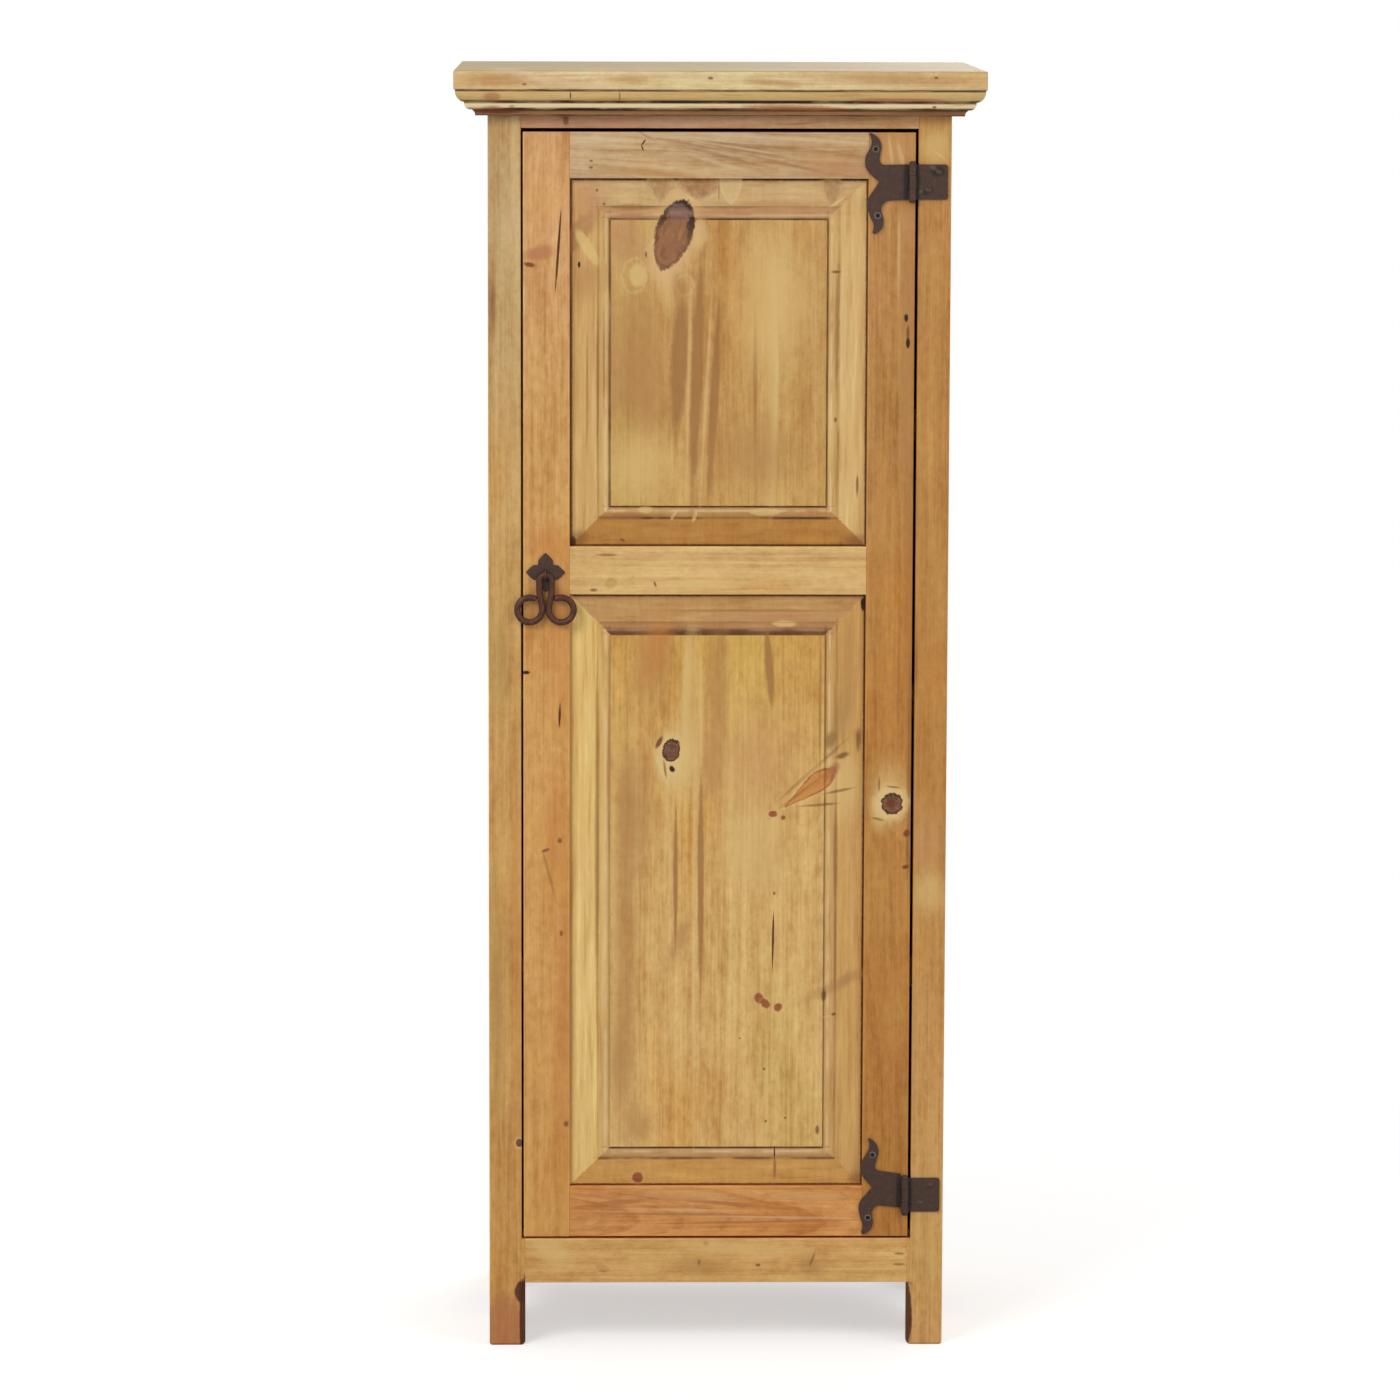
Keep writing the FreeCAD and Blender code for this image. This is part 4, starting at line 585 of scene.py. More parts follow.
PLACES["door_rail_top"] = [
    ("pale_grain", -121.9, 1416.6, 44.9, 2.4, 2), ("pale_grain", -42.9, 1427.4, 49.2, 2.0, 5),
    ("pale_grain", -140.0, 1427.0, 30.0, 2.6, 0), ("grain", 5.8, 1405.7, 48.0, 2.0, 14),
    ("grain", 15.3, 1419.1, 40.0, 1.7, 8), ("grain", 34.5, 1411.5, 48.0, 1.8, 10),
    ("grain", -30.0, 1419.0, 34.0, 1.6, 10), ("grain", 74.0, 1398.0, 44.0, 1.8, 13),
    ("pale_grain", 24.9, 1415.3, 48.1, 1.3, 9), ("pale_grain", -3.7, 1399.0, 38.4, 2.2, 16),
    ("pale_grain", 101.4, 1425.0, 57.8, 1.6, 3), ("soft_brown", -85.5, 1386.9, 55.6, 3.8, 3),
    ("grain", -86.0, 1430.0, 10.0, 1.2, 30), ("crack", -88.0, 1422.0, 1.0, 5.0, 34),
    ("crack", -89.4, 1415.4, 0.9, 4.0, -22), ("speck", -148.7, 1400.7, 1.8, 1.1, 0),
    ("speck", -148.7, 1392.8, 2.1, 1.4, 0), ("pink", 140.0, 1391.0, 34.0, 9.0, 0)]
PLACES["door_rail_middle"] = [
    ("faint_knot", -125.1, 909.9, 6.4, 5.6, 0), ("branch", -129.0, 942.9, 11.6, 1.6, 0),
    ("speck", -145.4, 901.7, 3.9, 1.9, 0), ("soft_pale", -26.6, 908.0, 48.5, 5.0, 0),
    ("speck", -73.9, 908.8, 1.4, 3.5, -20)]
PLACES["door_rail_bottom"] = [
    ("tongue", -34.0, 181.0, 66.0, 7.5, 3), ("tongue", 108.0, 180.0, 56.0, 6.4, 1),
    ("red_line", 26.0, 170.0, 60.0, 2.6, 5), ("red_line", -120.0, 172.0, 42.0, 3.4, -6),
    ("red_line", -30.0, 158.0, 110.0, 1.8, 1), ("red_line", 40.0, 149.0, 110.0, 1.6, -1),
    ("pale_grain", -40.0, 164.0, 60.0, 1.4, 1), ("pale_grain", 60.0, 155.0, 90.0, 1.4, 1)]
print(sum(map(len, PLACES.values())), "marks so far, after the frame of the door")

# %% Marks on the case
PLACES["face_stile_left"] = [
    ("orange", -235.4, 503.5, 4.6, 228.0, 0), ("dead_knot", -233.0, 244.7, 3.5, 4.8, 0),
    ("olive", -254.6, 816.3, 9.0, 54.0, 0), ("olive", -258.0, 420.0, 8.0, 120.0, 0),
    # Painted shade with some dirt, along the outer edge and under the cornice.
    ("dirt", -262.5, 1238.0, 3.6, 34.0, 0), ("dirt", -248.6, 1454.5, 14.0, 3.6, 0),
    ("red", -250.0, 22.0, 26.0, 40.0, 0),
    # The two marks at the foot are painted shade on the inner edge of the leg.
    ("scoop", -226.0, 65.0, 12.6, 14.5, 0), ("scoop", -226.0, 28.0, 6.4, 56.0, 0)]
PLACES["face_stile_right"] = [
    ("soft_pale", 249.0, 1416.0, 17.0, 20.0, 0), ("pale_vein", 254.0, 1408.0, 9.0, 1.6, 40),
    ("blush", 245.0, 606.0, 20.0, 34.0, 0), ("soft_pale", 248.0, 545.0, 17.0, 24.0, 0),
    # Painted shade: by the door gap, with some dirt, and on the inner edge of the leg.
    ("dirt", 231.5, 818.0, 1.6, 40.0, 0), ("scoop", 224.0, 36.0, 8.6, 42.0, 0)]
PLACES["face_rail_top"] = [
    # Painted shade under the cornice, with some dirt.
    ("dirt", -178.0, 1451.5, 7.0, 2.0, 0), ("dark_red", -177.6, 1447.0, 3.4, 5.0, 0),
    ("pink", -120.0, 1446.0, 50.0, 6.0, 0), ("stripe", 90.0, 1443.5, 16.0, 1.3, -3)]
PLACES["face_rail_bottom"] = [
    ("faint_knot", -133.8, 93.3, 8.0, 3.4, 20), ("stripe", -134.0, 89.8, 5.0, 1.1, 0),
    ("speck", -20.2, 99.6, 2.2, 4.0, 0), ("soft_brown", -22.0, 96.0, 24.0, 9.0, 0),
    ("branch", -12.0, 122.6, 3.0, 3.0, 0), ("speck", 49.7, 97.0, 2.8, 1.6, 0),
    ("soft_brown", 111.3, 96.0, 14.0, 10.0, 30), ("branch", 114.0, 104.0, 1.4, 8.0, 20),
    ("branch", 217.0, 110.6, 6.0, 1.6, 0), ("pale", 217.0, 106.0, 6.0, 1.8, 0),
    ("branch", 217.0, 97.6, 7.0, 1.3, 0), ("soft_pale", -192.0, 112.0, 22.0, 14.0, 30),
    ("soft_pale", 20.0, 118.0, 60.0, 6.0, 2)]
print(sum(map(len, PLACES.values())), "marks so far, after the case")

# %% Marks on the top and the cornice
PLACES["top_board_front"] = [
    ("pale_grain", -202.0, 1496.4, 60.0, 3.4, 10),
    ("pale_grain", -110.0, 1487.0, 80.0, 2.8, 3),
    ("pale", -245.7, 1485.0, 34.4, 1.6, 0), ("soft_brown", -262.0, 1494.0, 34.0, 7.0, 0),
    ("soft_brown", -106.0, 1495.5, 24.0, 4.6, 0), ("speck", -225.0, 1489.5, 2.4, 1.2, 0),
    ("pale_grain", -60.0, 1499.0, 70.0, 2.0, 4),
    ("pale_grain", 128.0, 1491.8, 132.0, 2.0, 3.6),
    ("soft_brown", 200.0, 1497.0, 90.0, 6.0, 2), ("speck", -12.0, 1497.0, 3.0, 1.6, 0),
    ("speck", 247.0, 1498.0, 2.2, 1.4, 0), ("soft_brown", 60.0, 1492.0, 30.0, 3.0, 4)]
PLACES["cornice_front"] = [
    ("red", -262.0, 1475.3, 9.2, 4.6, 0), ("crack", -172.2, 1476.7, 0.7, 5.0, 0),
    ("branch", -116.0, 1476.0, 1.0, 5.0, 0), ("red", 210.0, 1472.0, 50.0, 2.2, 0),
    ("red", 80.0, 1463.0, 56.0, 3.4, 1), ("stripe", 100.0, 1462.0, 60.0, 1.3, 2),
    ("speck", 246.0, 1463.8, 2.4, 1.4, 0), ("dark_red", -256.0, 1458.0, 28.0, 3.0, 0),
    # Painted shade with some dirt at the foot of the cornice, darkest at the ends.
    ("dirt", 246.0, 1457.5, 48.0, 3.6, 0), ("dirt", -262.0, 1462.5, 9.0, 2.0, 0),
    ("dirt", -240.0, 1463.5, 3.0, 1.6, 0)]
print(sum(map(len, PLACES.values())), "marks so far, after the top and the cornice")

# %% Grime and painted shade on the hinges
PLACES["hinge_upper_frame_leaf"] = [
    ("grime", 252.5, 1389.5, 8.5, 6.0, 0), ("scuff", 247.0, 1393.5, 4.0, 2.4, 30),
    ("grime", 240.5, 1366.5, 7.0, 3.6, -20), ("scuff", 232.0, 1366.0, 2.6, 2.0, -20),
    # The long mark at the left edge is painted shade by the door gap.
    ("grime", 228.4, 1377.0, 2.6, 24.0, 0)]
# Painted shade by the door gap.
PLACES["hinge_lower_frame_leaf"] = [("grime", 228.4, 180.0, 2.6, 24.0, 0)]
# On the door leaves, painted shade in the groove beside the barrel.
PLACES["hinge_upper_door_leaf"] = [("grime", 215.6, 1377.0, 3.2, 30.0, 0)]
PLACES["hinge_lower_door_leaf"] = [("grime", 215.6, 180.0, 3.2, 30.0, 0)]
print(sum(map(len, PLACES.values())), "marks so far, after the hinges")

# %% [markdown]
# ## Which way each board runs
# Grain always runs along a board. The pattern is turned onto the board with a Mapping node that
# takes the middle of the board to zero and its length to the third axis. Every board also gets
# its own place in the tree: how far away the heart was, how wide the rings are, and a seed.

# %% Turning the pattern onto a board
RUNS = {
    "up_front": ((1, 0, 0), (0, 1, 0), (0, 0, 1)),
    "level_front": ((0, 0, 1), (0, -1, 0), (1, 0, 0)),
    "up_side": ((0, 1, 0), (-1, 0, 0), (0, 0, 1)),
    "level_flat": ((0, 1, 0), (0, 0, 1), (1, 0, 0)),
    "level_back": ((0, 0, 1), (1, 0, 0), (0, 1, 0)),
}


def onto_board(wires, node_name, run):
    """Object coordinates, and the same with the board's middle at zero and its length third."""
    low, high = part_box(node_name)
    turn = Matrix(RUNS[run])
    place = wires.object_place()
    board = wires.fed("ShaderNodeMapping", {"Vector": place, "Rotation": turn.to_euler(),
                                            "Location": -(turn @ ((low + high) / 2))},
                      vector_type="POINT")
    return place, board[0]


print(len(RUNS), "ways for a board to run")


# %% Laying the marks
SMALLEST_PUSH_MM = 5
LONG_PUSH = 0.55


def lay_marks(wires, colour, place, marks):
    """Lay the marks of one board over its colour, one group each, in the order given."""
    if not marks:
        return colour
    at_x, _, at_z = wires.apart(place)
    fibres = wires.patches(place, (420, 420, 190))
    blotches = wires.patches(place, (90, 90, 60), 3.0, 0.65)
    for kind, x, z, half_width, half_height, turn in marks:
        look = dict(MARKS[kind])
        group = knot_mark if "rim" in look else soft_mark
        for part in ("core", "rim"):
            if part in look:
                look[part] = tone(*look[part])
        colour = use_group(wires, group, colour=colour, x=at_x, z=at_z, fibres=fibres,
                           blotches=blotches, middle_x=x * MM, middle_z=z * MM,
                           half_width=half_width * MM, half_height=half_height * MM,
                           turn=math.radians(turn), **look)["Colour"]
    return colour


def rings_round_knots(wires, place, marks):
    """How far the rings are pushed aside near the large knots, in metres."""
    push = None
    for kind, x, z, half_width, half_height, _ in marks:
        if kind not in ("dead_knot", "slant_knot", "spike") or half_height < SMALLEST_PUSH_MM:
            continue
        away = wires.fed("ShaderNodeVectorMath", {0: wires.stretch(place, (1, 0, LONG_PUSH)),
                                                  1: (x * MM, 0, LONG_PUSH * z * MM)},
                         operation="DISTANCE")
        size = (half_width + half_height) / 2 * MM
        near = wires.band(away["Value"], size * 0.4, size * 3.4, size * 0.9, 0.0)
        push = near if push is None else wires.add(push, near)
    return push


print("marks can be laid")

# %% [markdown]
# ## Stain and wax
# The makers wipe a honey-coloured stain over the bare boards and rub wax on top. The stain bites
# deeper into soft early wood and into cut ends, so colour drifts from straw to red-brown over a
# hand's width. One recipe mixes a pale, a middle and a deep tone by the patterns above. What
# differs from board to board is a short list: its colour at one end, in the middle and at the
# other, how strong the figure is, and how lively the whole. A thin light line is painted along
# both long edges of a board, a painted highlight where a rounded arris would catch the light.


# %% Materials and their relief
def new_material(name):
    """A new material, the wiring of its tree, and its shader."""
    material = bpy.data.materials.new(name)
    material.use_nodes = True
    return material, Wiring(material.node_tree), material.node_tree.nodes["Principled BSDF"]


def add_bump(wires, shader, height, strength, distance):
    """Let the light catch a pattern of heights."""
    bump = wires.fed("ShaderNodeBump", {"Strength": strength, "Distance": distance,
                                        "Height": height})
    wires.feed(shader.inputs["Normal"], bump[0])


def finish_node(node_name, material):
    """Give a finished solid its material in every slot."""
    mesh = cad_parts[node_name].data
    mesh.materials.clear()
    mesh.materials.append(material)


print("materials can be made")

# %% Colour and figure
DEEP = (0.74, 0.59, 0.42, 1)
PALE = (1.20, 1.34, 1.46, 1)
AMBER = (1.02, 0.90, 0.66, 1)
OLIVE = (0.96, 1.02, 0.92, 1)
# A tint for the painted highlight along the long edges of a board.
ARRIS_HIGHLIGHT = (1.24, 1.22, 1.26, 1)
SHARES = {"Straight": 1.2, "Cloud": 1.1, "Mottle": 1.1, "Streak": 0.8, "Fibre": 0.8}
EVEN_LIGHT = 0.52
YEARS_SHARE = 1.6
LATE_WOOD_SHARE = 0.42
FLECK_SHARE = 0.4
HUE_SHARE = 0.9


def drifting(wires, along, length, colour, middle, lower):
    """One colour that changes slowly from the lower or left end of a board to the other."""
    far = tone(*colour)
    if not lower:
        return far
    near = tone(*lower)
    if not middle:
        return wires.blend(wires.band(along, -length / 2, length / 2), near, far)
    first = wires.blend(wires.band(along, -length / 2, 0.0), near, tone(*middle))
    return wires.blend(wires.band(along, 0.0, length / 2), first, far)


def figured(wires, grain, colour, figure, contrast):
    """The colour made paler and deeper by all patterns together, then warmer and cooler."""
    light = EVEN_LIGHT
    for output, share in (*SHARES.items(), ("Years", YEARS_SHARE * figure)):
        light = wires.add(light, wires.both_ways(grain[output], share * contrast))
    late_wood = wires.times(grain["Late wood"], LATE_WOOD_SHARE * figure * contrast)
    light = wires.minus(light, late_wood)
    pale, deep = wires.tint(colour, PALE), wires.tint(colour, DEEP)
    colour = wires.blend(wires.slope(light, 0.5, 1.1), colour, pale)
    colour = wires.blend(wires.slope(light, 0.5, -0.1), colour, deep)
    for end, tint in ((0.72, AMBER), (0.28, OLIVE)):
        colour = wires.blend(wires.band(grain["Hue"], 0.50, end, 0.0, HUE_SHARE), colour,
                             wires.tint(colour, tint))
    return wires.blend(wires.times(grain["Fleck"], FLECK_SHARE), colour, deep)


print(len(SHARES) + 1, "patterns make the figure")


# %% The recipe for a stained board
MOST_LEAN = 0.02
# Where the painted highlight along the long edges starts, where it is full, and how strong it is.
HIGHLIGHT_STARTS, HIGHLIGHT_FULL, HIGHLIGHT_SHARE = 0.0018, 0.0008, 0.7
WAX_SMOOTH, WAX_ROUGH = 0.46, 0.58
WAX_SHINE = 0.3
LATE_WOOD_RELIEF = 0.5
FIBRE_BUMP, FIBRE_DEPTH = 0.45, 0.0004


def stained_pine(node_name, run, colour, heart=(0.01, 0.08), rise=0.03, ring=5.4,
                 figure=1.0, contrast=1.0, middle=None, lower=None, stain_and_shade=None):
    """A material for one board, from its colours, its place in the tree and its figure."""
    material, wires, shader = new_material("pine_" + node_name)
    place, board = onto_board(wires, node_name, run)
    marks = PLACES.get(node_name, ())
    seed = random.Random(node_name).uniform(0, 40)
    grain = use_group(wires, pine_rings, place=board, seed=(seed, seed * 1.7, seed * 0.6),
                      heart_across=heart[0], heart_depth=heart[1], rise=rise,
                      lean=MOST_LEAN * math.sin(seed), ring_width=ring * MM,
                      push=rings_round_knots(wires, place, marks))
    low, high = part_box(node_name)
    size = Matrix(RUNS[run]) @ (high - low)
    across, _, along = wires.apart(board)
    mixed = drifting(wires, along, abs(size.z), colour, middle, lower)
    mixed = figured(wires, grain, mixed, figure, contrast)
    # The board's own step of stain and painted light, where it has one.
    if stain_and_shade:
        mixed = stain_and_shade(wires, place, node_name, mixed)
    else:
        # A thin pale line along both long edges: a painted highlight for the light that a rounded
        # arris catches.
        from_edge = wires.minus(abs(size.x) / 2, wires.math("ABSOLUTE", across))
        mixed = wires.blend(wires.band(from_edge, HIGHLIGHT_STARTS, HIGHLIGHT_FULL, 0.0, HIGHLIGHT_SHARE), mixed,
                            wires.tint(mixed, ARRIS_HIGHLIGHT))
    wires.feed(shader.inputs["Base Color"], lay_marks(wires, mixed, place, marks))
    wires.feed(shader.inputs["Roughness"],
               wires.band(grain["Fibre"], 0.3, 0.7, WAX_SMOOTH, WAX_ROUGH))
    shader.inputs["Specular IOR Level"].default_value = WAX_SHINE
    relief = wires.minus(grain["Fibre"], wires.times(grain["Late wood"], LATE_WOOD_RELIEF))
    add_bump(wires, shader, relief, FIBRE_BUMP, FIBRE_DEPTH)
    return material


print("recipe ready")

# %% [markdown]
# ## Stain and painted light in the borders of the panels
# Stain collects wherever the cutter left a groove, and a border that cuts across the grain drinks
# more of it than one that runs with it. So each of the four borders has tones of its own: one for
# its slope, one for its bead, and how dark the line is at the field and at the foot of the bead,
# which is old polish and painted shade in the groove. The crown of the bead gets a painted
# highlight. The border is found by measuring from the edges of the opening, and the mitre is
# where the two distances are equal. Where the panel slips under the frame, a dark band is painted
# as the frame's shadow, with some dirt in it, wider at the top and on the left.

# %% Panel borders
PANEL_EDGE = 0.010 - 0.001
BORDER = 0.0475
BEAD_FOOT = 0.0337
BEAD_CROWN = BORDER - 0.0055
BORDER_SHARE = 0.72
SMEAR_SHARE = 0.8
MITRE_BLUR = 0.0012
RAGGED = 0.006
NARROW_JOINT, WIDE_JOINT = 0.0026, 0.0042
# Tones of the groove lines, old polish and painted shade; of the joint, painted shadow and dirt;
# of the bead's crown, a painted highlight.
GROOVE_TONE = (84, 48, 22)
JOINT_SHADE_TONE = (54, 27, 11)
CROWN_HIGHLIGHT = (236, 206, 158)
SIDES = ("top", "bottom", "left", "right")
# One card for each side, in that order.
SLOPES = {
    "door_panel_upper": ((202, 168, 118), (177, 116, 48), (208, 166, 105), (226, 190, 126)),
    "door_panel_lower": ((184, 140, 92), (204, 148, 76), (232, 198, 122), (208, 160, 94)),
}
BEADS = {
    "door_panel_upper": ((186, 140, 98), (184, 134, 82), (206, 166, 104), (214, 176, 112)),
    "door_panel_lower": ((158, 108, 78), (192, 144, 98), (216, 178, 112), (204, 160, 100)),
}
# How dark the painted shadow and dirt in the joint are.
JOINTS = {
    "door_panel_upper": (0.95, 0.9, 0.85, 0.9),
    "door_panel_lower": (0.95, 0.9, 0.3, 0.95),
}
# How dark the line at the field is, and the one at the foot of the bead, and how many
# millimetres the first one reaches. Both lines are old polish and painted shade in the groove.
LINES = {
    "door_panel_upper": ((1.0, 0.35, 2.0), (1.0, 0.85, 2.4), (0.8, 0.15, 3.2),
                         (0.75, 0.20, 2.4)),
    "door_panel_lower": ((0.78, 0.10, 9.0), (0.9, 0.65, 3.0), (0.25, 0.10, 2.0),
                         (0.5, 0.15, 2.0)),
}
print("borders", round(BORDER / MM, 1), "mm wide, each with its own", " ".join(SIDES))


# %% Finding the borders
def borders_of(wires, place, node_name):
    """How far a place is from the edge of the opening, a ragged noise, and where it lies."""
    low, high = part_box(node_name)
    middle = (low + high) / 2
    x, _, z = wires.apart(place)
    to_right = wires.minus(x, middle.x)
    to_top = wires.minus(z, middle.z)
    from_side = wires.minus((high.x - low.x) / 2 - PANEL_EDGE, wires.math("ABSOLUTE", to_right))
    from_end = wires.minus((high.z - low.z) / 2 - PANEL_EDGE, wires.math("ABSOLUTE", to_top))
    ragged = wires.both_ways(wires.noise(place, 260.0, 2.0, 0.6), RAGGED)
    on_end = wires.band(wires.add(wires.minus(from_side, from_end), ragged),
                        -MITRE_BLUR, MITRE_BLUR)
    edge = wires.math("MINIMUM", from_side, from_end)
    return edge, ragged, (on_end, to_top, to_right)


def by_side(wires, cards, on_end, to_top, to_right):
    """Pick one of four cards, given as top, bottom, left and right."""
    top, bottom, left, right = cards
    ends = wires.blend(wires.math("GREATER_THAN", to_top, 0.0), bottom, top)
    sides = wires.blend(wires.math("GREATER_THAN", to_right, 0.0), left, right)
    return wires.blend(on_end, sides, ends)


print("borders can be told apart")


# %% Washing the borders
def border_wash(wires, place, node_name, edge, sided):
    """The tone of each slope and of its bead, streaked along the border."""
    wash = by_side(wires, [tone(*card) for card in SLOPES[node_name]], *sided)
    bead = by_side(wires, [tone(*card) for card in BEADS[node_name]], *sided)
    wash = wires.blend(wires.band(edge, BEAD_FOOT - 0.0010, BEAD_FOOT + 0.0014), wash, bead)
    on_end = sided[0]
    upright = wires.patches(place, (150, 150, 9), 3.0, 0.65)
    level = wires.patches(place, (16, 60, 110), 3.0, 0.65)
    smear = wires.add(wires.times(level, on_end), wires.times(upright, wires.minus(1.0, on_end)))
    for end, tint in ((0.30, DEEP), (0.70, PALE)):
        wash = wires.blend(wires.band(smear, 0.50, end, 0.0, SMEAR_SHARE), wash,
                           wires.tint(wash, tint))
    return wash


print("borders can be washed")


# %% Lines and dirt on a panel
def worn_lines(wires, colour, node_name, edge, broken, sided):
    """Old polish and painted shade in the grooves at the edge of the field and at the foot of the
    bead, rubbed off in places.
    """
    cards = by_side(wires, [card + (1.0,) for card in LINES[node_name]], *sided)
    at_field, at_foot, reach_mm = wires.apart(cards)
    off = wires.minus(BORDER + 0.0002, edge)
    spent = wires.over(off, wires.times(reach_mm, MM))
    line = wires.times(wires.band(off, -0.0006, 0.0), wires.band(spent, 0.55, 1.15, 1.0, 0.0),
                       at_field, wires.band(broken, 0.62, 0.40, 0.75, 1.0))
    colour = wires.blend(line, colour, tone(*GROOVE_TONE))
    off = wires.math("ABSOLUTE", wires.minus(edge, BEAD_FOOT - 0.0005))
    line = wires.times(wires.band(off, 0.0006, 0.0022, 1.0, 0.0),
                       wires.band(broken, 0.60, 0.42, 0.2, 1.0), at_foot)
    return wires.blend(line, colour, tone(*GROOVE_TONE))


def dirty_joint(wires, colour, node_name, edge, ragged, sided):
    """Painted shadow and dirt where the panel slips under the frame, wider at the top and on the
    left.
    """
    on_end, to_top, to_right = sided
    shaded = wires.math("MAXIMUM", wires.times(to_top, on_end),
                        wires.times(to_right, -1.0, wires.minus(1.0, on_end)))
    reach = wires.add(wires.band(shaded, -0.02, 0.02, NARROW_JOINT, WIDE_JOINT),
                      wires.times(ragged, 0.4))
    strength = by_side(wires, [(share,) * 3 + (1.0,) for share in JOINTS[node_name]], *sided)
    # The dark band is painted shadow from the frame, with some dirt.
    dirt = wires.times(wires.band(wires.over(edge, reach), 0.35, 1.0, 1.0, 0.0), strength)
    return wires.blend(dirt, colour, tone(*JOINT_SHADE_TONE))


print("lines and dirt ready")


# %% Staining a panel
def panel_stain(wires, place, node_name, colour):
    """Give each border its tone, paint a highlight on the crown of the bead, and line the grooves
    and the joint.
    """
    edge, ragged, sided = borders_of(wires, place, node_name)
    broken = wires.patches(place, (24, 24, 24), 2.0)
    on_border = wires.band(edge, BORDER - 0.0002, BORDER + 0.0002, 1.0, 0.0)
    colour = wires.blend(wires.times(on_border, BORDER_SHARE), colour,
                         border_wash(wires, place, node_name, edge, sided))
    # The crown of the bead gets a painted highlight, broken up by a slow noise.
    off_crown = wires.math("ABSOLUTE", wires.minus(edge, BEAD_CROWN))
    crown_highlight = wires.times(wires.band(off_crown, 0.0, 0.0026, 0.5, 0.0),
                        wires.band(broken, 0.38, 0.55))
    colour = wires.blend(crown_highlight, colour, tone(*CROWN_HIGHLIGHT))
    colour = worn_lines(wires, colour, node_name, edge, broken, sided)
    return dirty_joint(wires, colour, node_name, edge, ragged, sided)


print("panels can be stained")

# %% [markdown]
# ## Old polish and painted light in the cornice
# The members of the cornice meet in narrow quirks that no cloth can reach, so polish and dust stay
# there, and shade falls there under each member; the dark lines stand for both, partly as painted
# shadow. Each line is a height on the moulding, broken up by a slow noise, and the top board gets
# the same line where it sits on the moulding. The round members get pale tones, a painted
# highlight where they catch the light, and the hollow at the foot keeps a brown that is partly
# stain and partly painted shade, most of all at its ends. The upper face of the top is painted
# duller and darker as shade, to offset the stronger light that falls on it from above.

# %% Quirks of the cornice
# Height above the foot, half width and strength of each dark line, old polish and painted
# shadow; then where each member starts, its tone, partly painted light, and how much of it shows.
QUIRKS = ((0.0, 2.0, 0.90), (7.4, 3.0, 1.0), (16.3, 3.0, 1.0), (29.3, 1.8, 0.90))
MEMBERS = ((7.4, (246, 220, 172), 0.9), (16.3, (218, 186, 122), 0.6),
           (29.3, (214, 186, 128), 0.5))
# The hollow's brown is partly stain and partly painted shade.
HOLLOW_TONE = (146, 94, 62)
HOLLOW_SHARE = 0.75
QUIRK_SHADE_TONE = (44, 22, 8)
WAVER = 0.0012
MEMBER_BLUR_MM = 0.4


def quirk_stain(wires, place, node_name, colour):
    """Tones of the members, partly painted light and shade, and dark lines of polish and painted
    shadow between them, in millimetres above the foot.
    """
    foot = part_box(node_name)[0].z
    broken = wires.patches(place, (16, 16, 60))
    streaks = wires.patches(place, (14, 300, 300), 3.0, 0.65)
    height = wires.add(wires.apart(place)[2], wires.both_ways(broken, WAVER))
    member, share = tone(*HOLLOW_TONE), HOLLOW_SHARE
    # The members' tones are partly painted light: pale on the round members, brown in the hollow.
    for above, card, wanted in MEMBERS:
        over = wires.band(height, foot + (above - MEMBER_BLUR_MM) * MM,
                          foot + (above + MEMBER_BLUR_MM) * MM)
        member = wires.blend(over, member, tone(*card))
        share = wires.band(over, 0.0, 1.0, share, wanted)
    member = wires.blend(wires.band(streaks, 0.46, 0.30, 0.0, 0.8), member,
                         wires.tint(member, DEEP))
    colour = wires.blend(share, colour, member)
    # Each dark line is old polish and painted shadow under a member.
    for above, wide, strength in QUIRKS:
        off = wires.math("ABSOLUTE", wires.minus(height, foot + above * MM))
        line = wires.times(wires.band(off, wide * MM * 0.3, wide * MM, strength, 0.0),
                           wires.band(broken, 0.64, 0.42, 0.55, 1.0))
        colour = wires.blend(line, colour, tone(*QUIRK_SHADE_TONE))
    return colour


print(len(QUIRKS), "dark lines along the cornice")

# %% Painted shade on the top
# Tone and share of the painted shade on the upper face of the top.
TOP_SHADE_TONE = (165, 138, 82)
TOP_SHADE_SHARE = 0.78


def dusty_top(wires, place, node_name, colour):
    """The edge of the top keeps its colour; its upper face is painted duller and darker as shade,
    and a dark line of polish and painted shadow runs along its foot.
    """
    low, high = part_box(node_name)
    height = wires.apart(place)[2]
    worn = wires.patches(place, (30, 90, 90))
    # The upper face is painted duller and darker as shade, to offset the stronger light from
    # above.
    top_shade = wires.band(height, high.z - 0.0012, high.z - 0.0003, 0.0, TOP_SHADE_SHARE)
    colour = wires.blend(top_shade, colour, tone(*TOP_SHADE_TONE))
    # A dark line of old polish and painted shadow where the top sits on the moulding.
    line = wires.times(wires.band(height, low.z + 0.0020, low.z, 0.0, 0.8),
                       wires.band(worn, 0.62, 0.42, 0.35, 1.0))
    return wires.blend(line, colour, tone(*QUIRK_SHADE_TONE))


print("the top can gather dust")

# %% [markdown]
# ## The list of boards
# Each board was picked by hand from a stack, so no two match. The list says which way a board
# runs, its colour, other colours for its middle and its lower or left end where it drifts, where
# the heart of the tree was, and how lively the figure is.

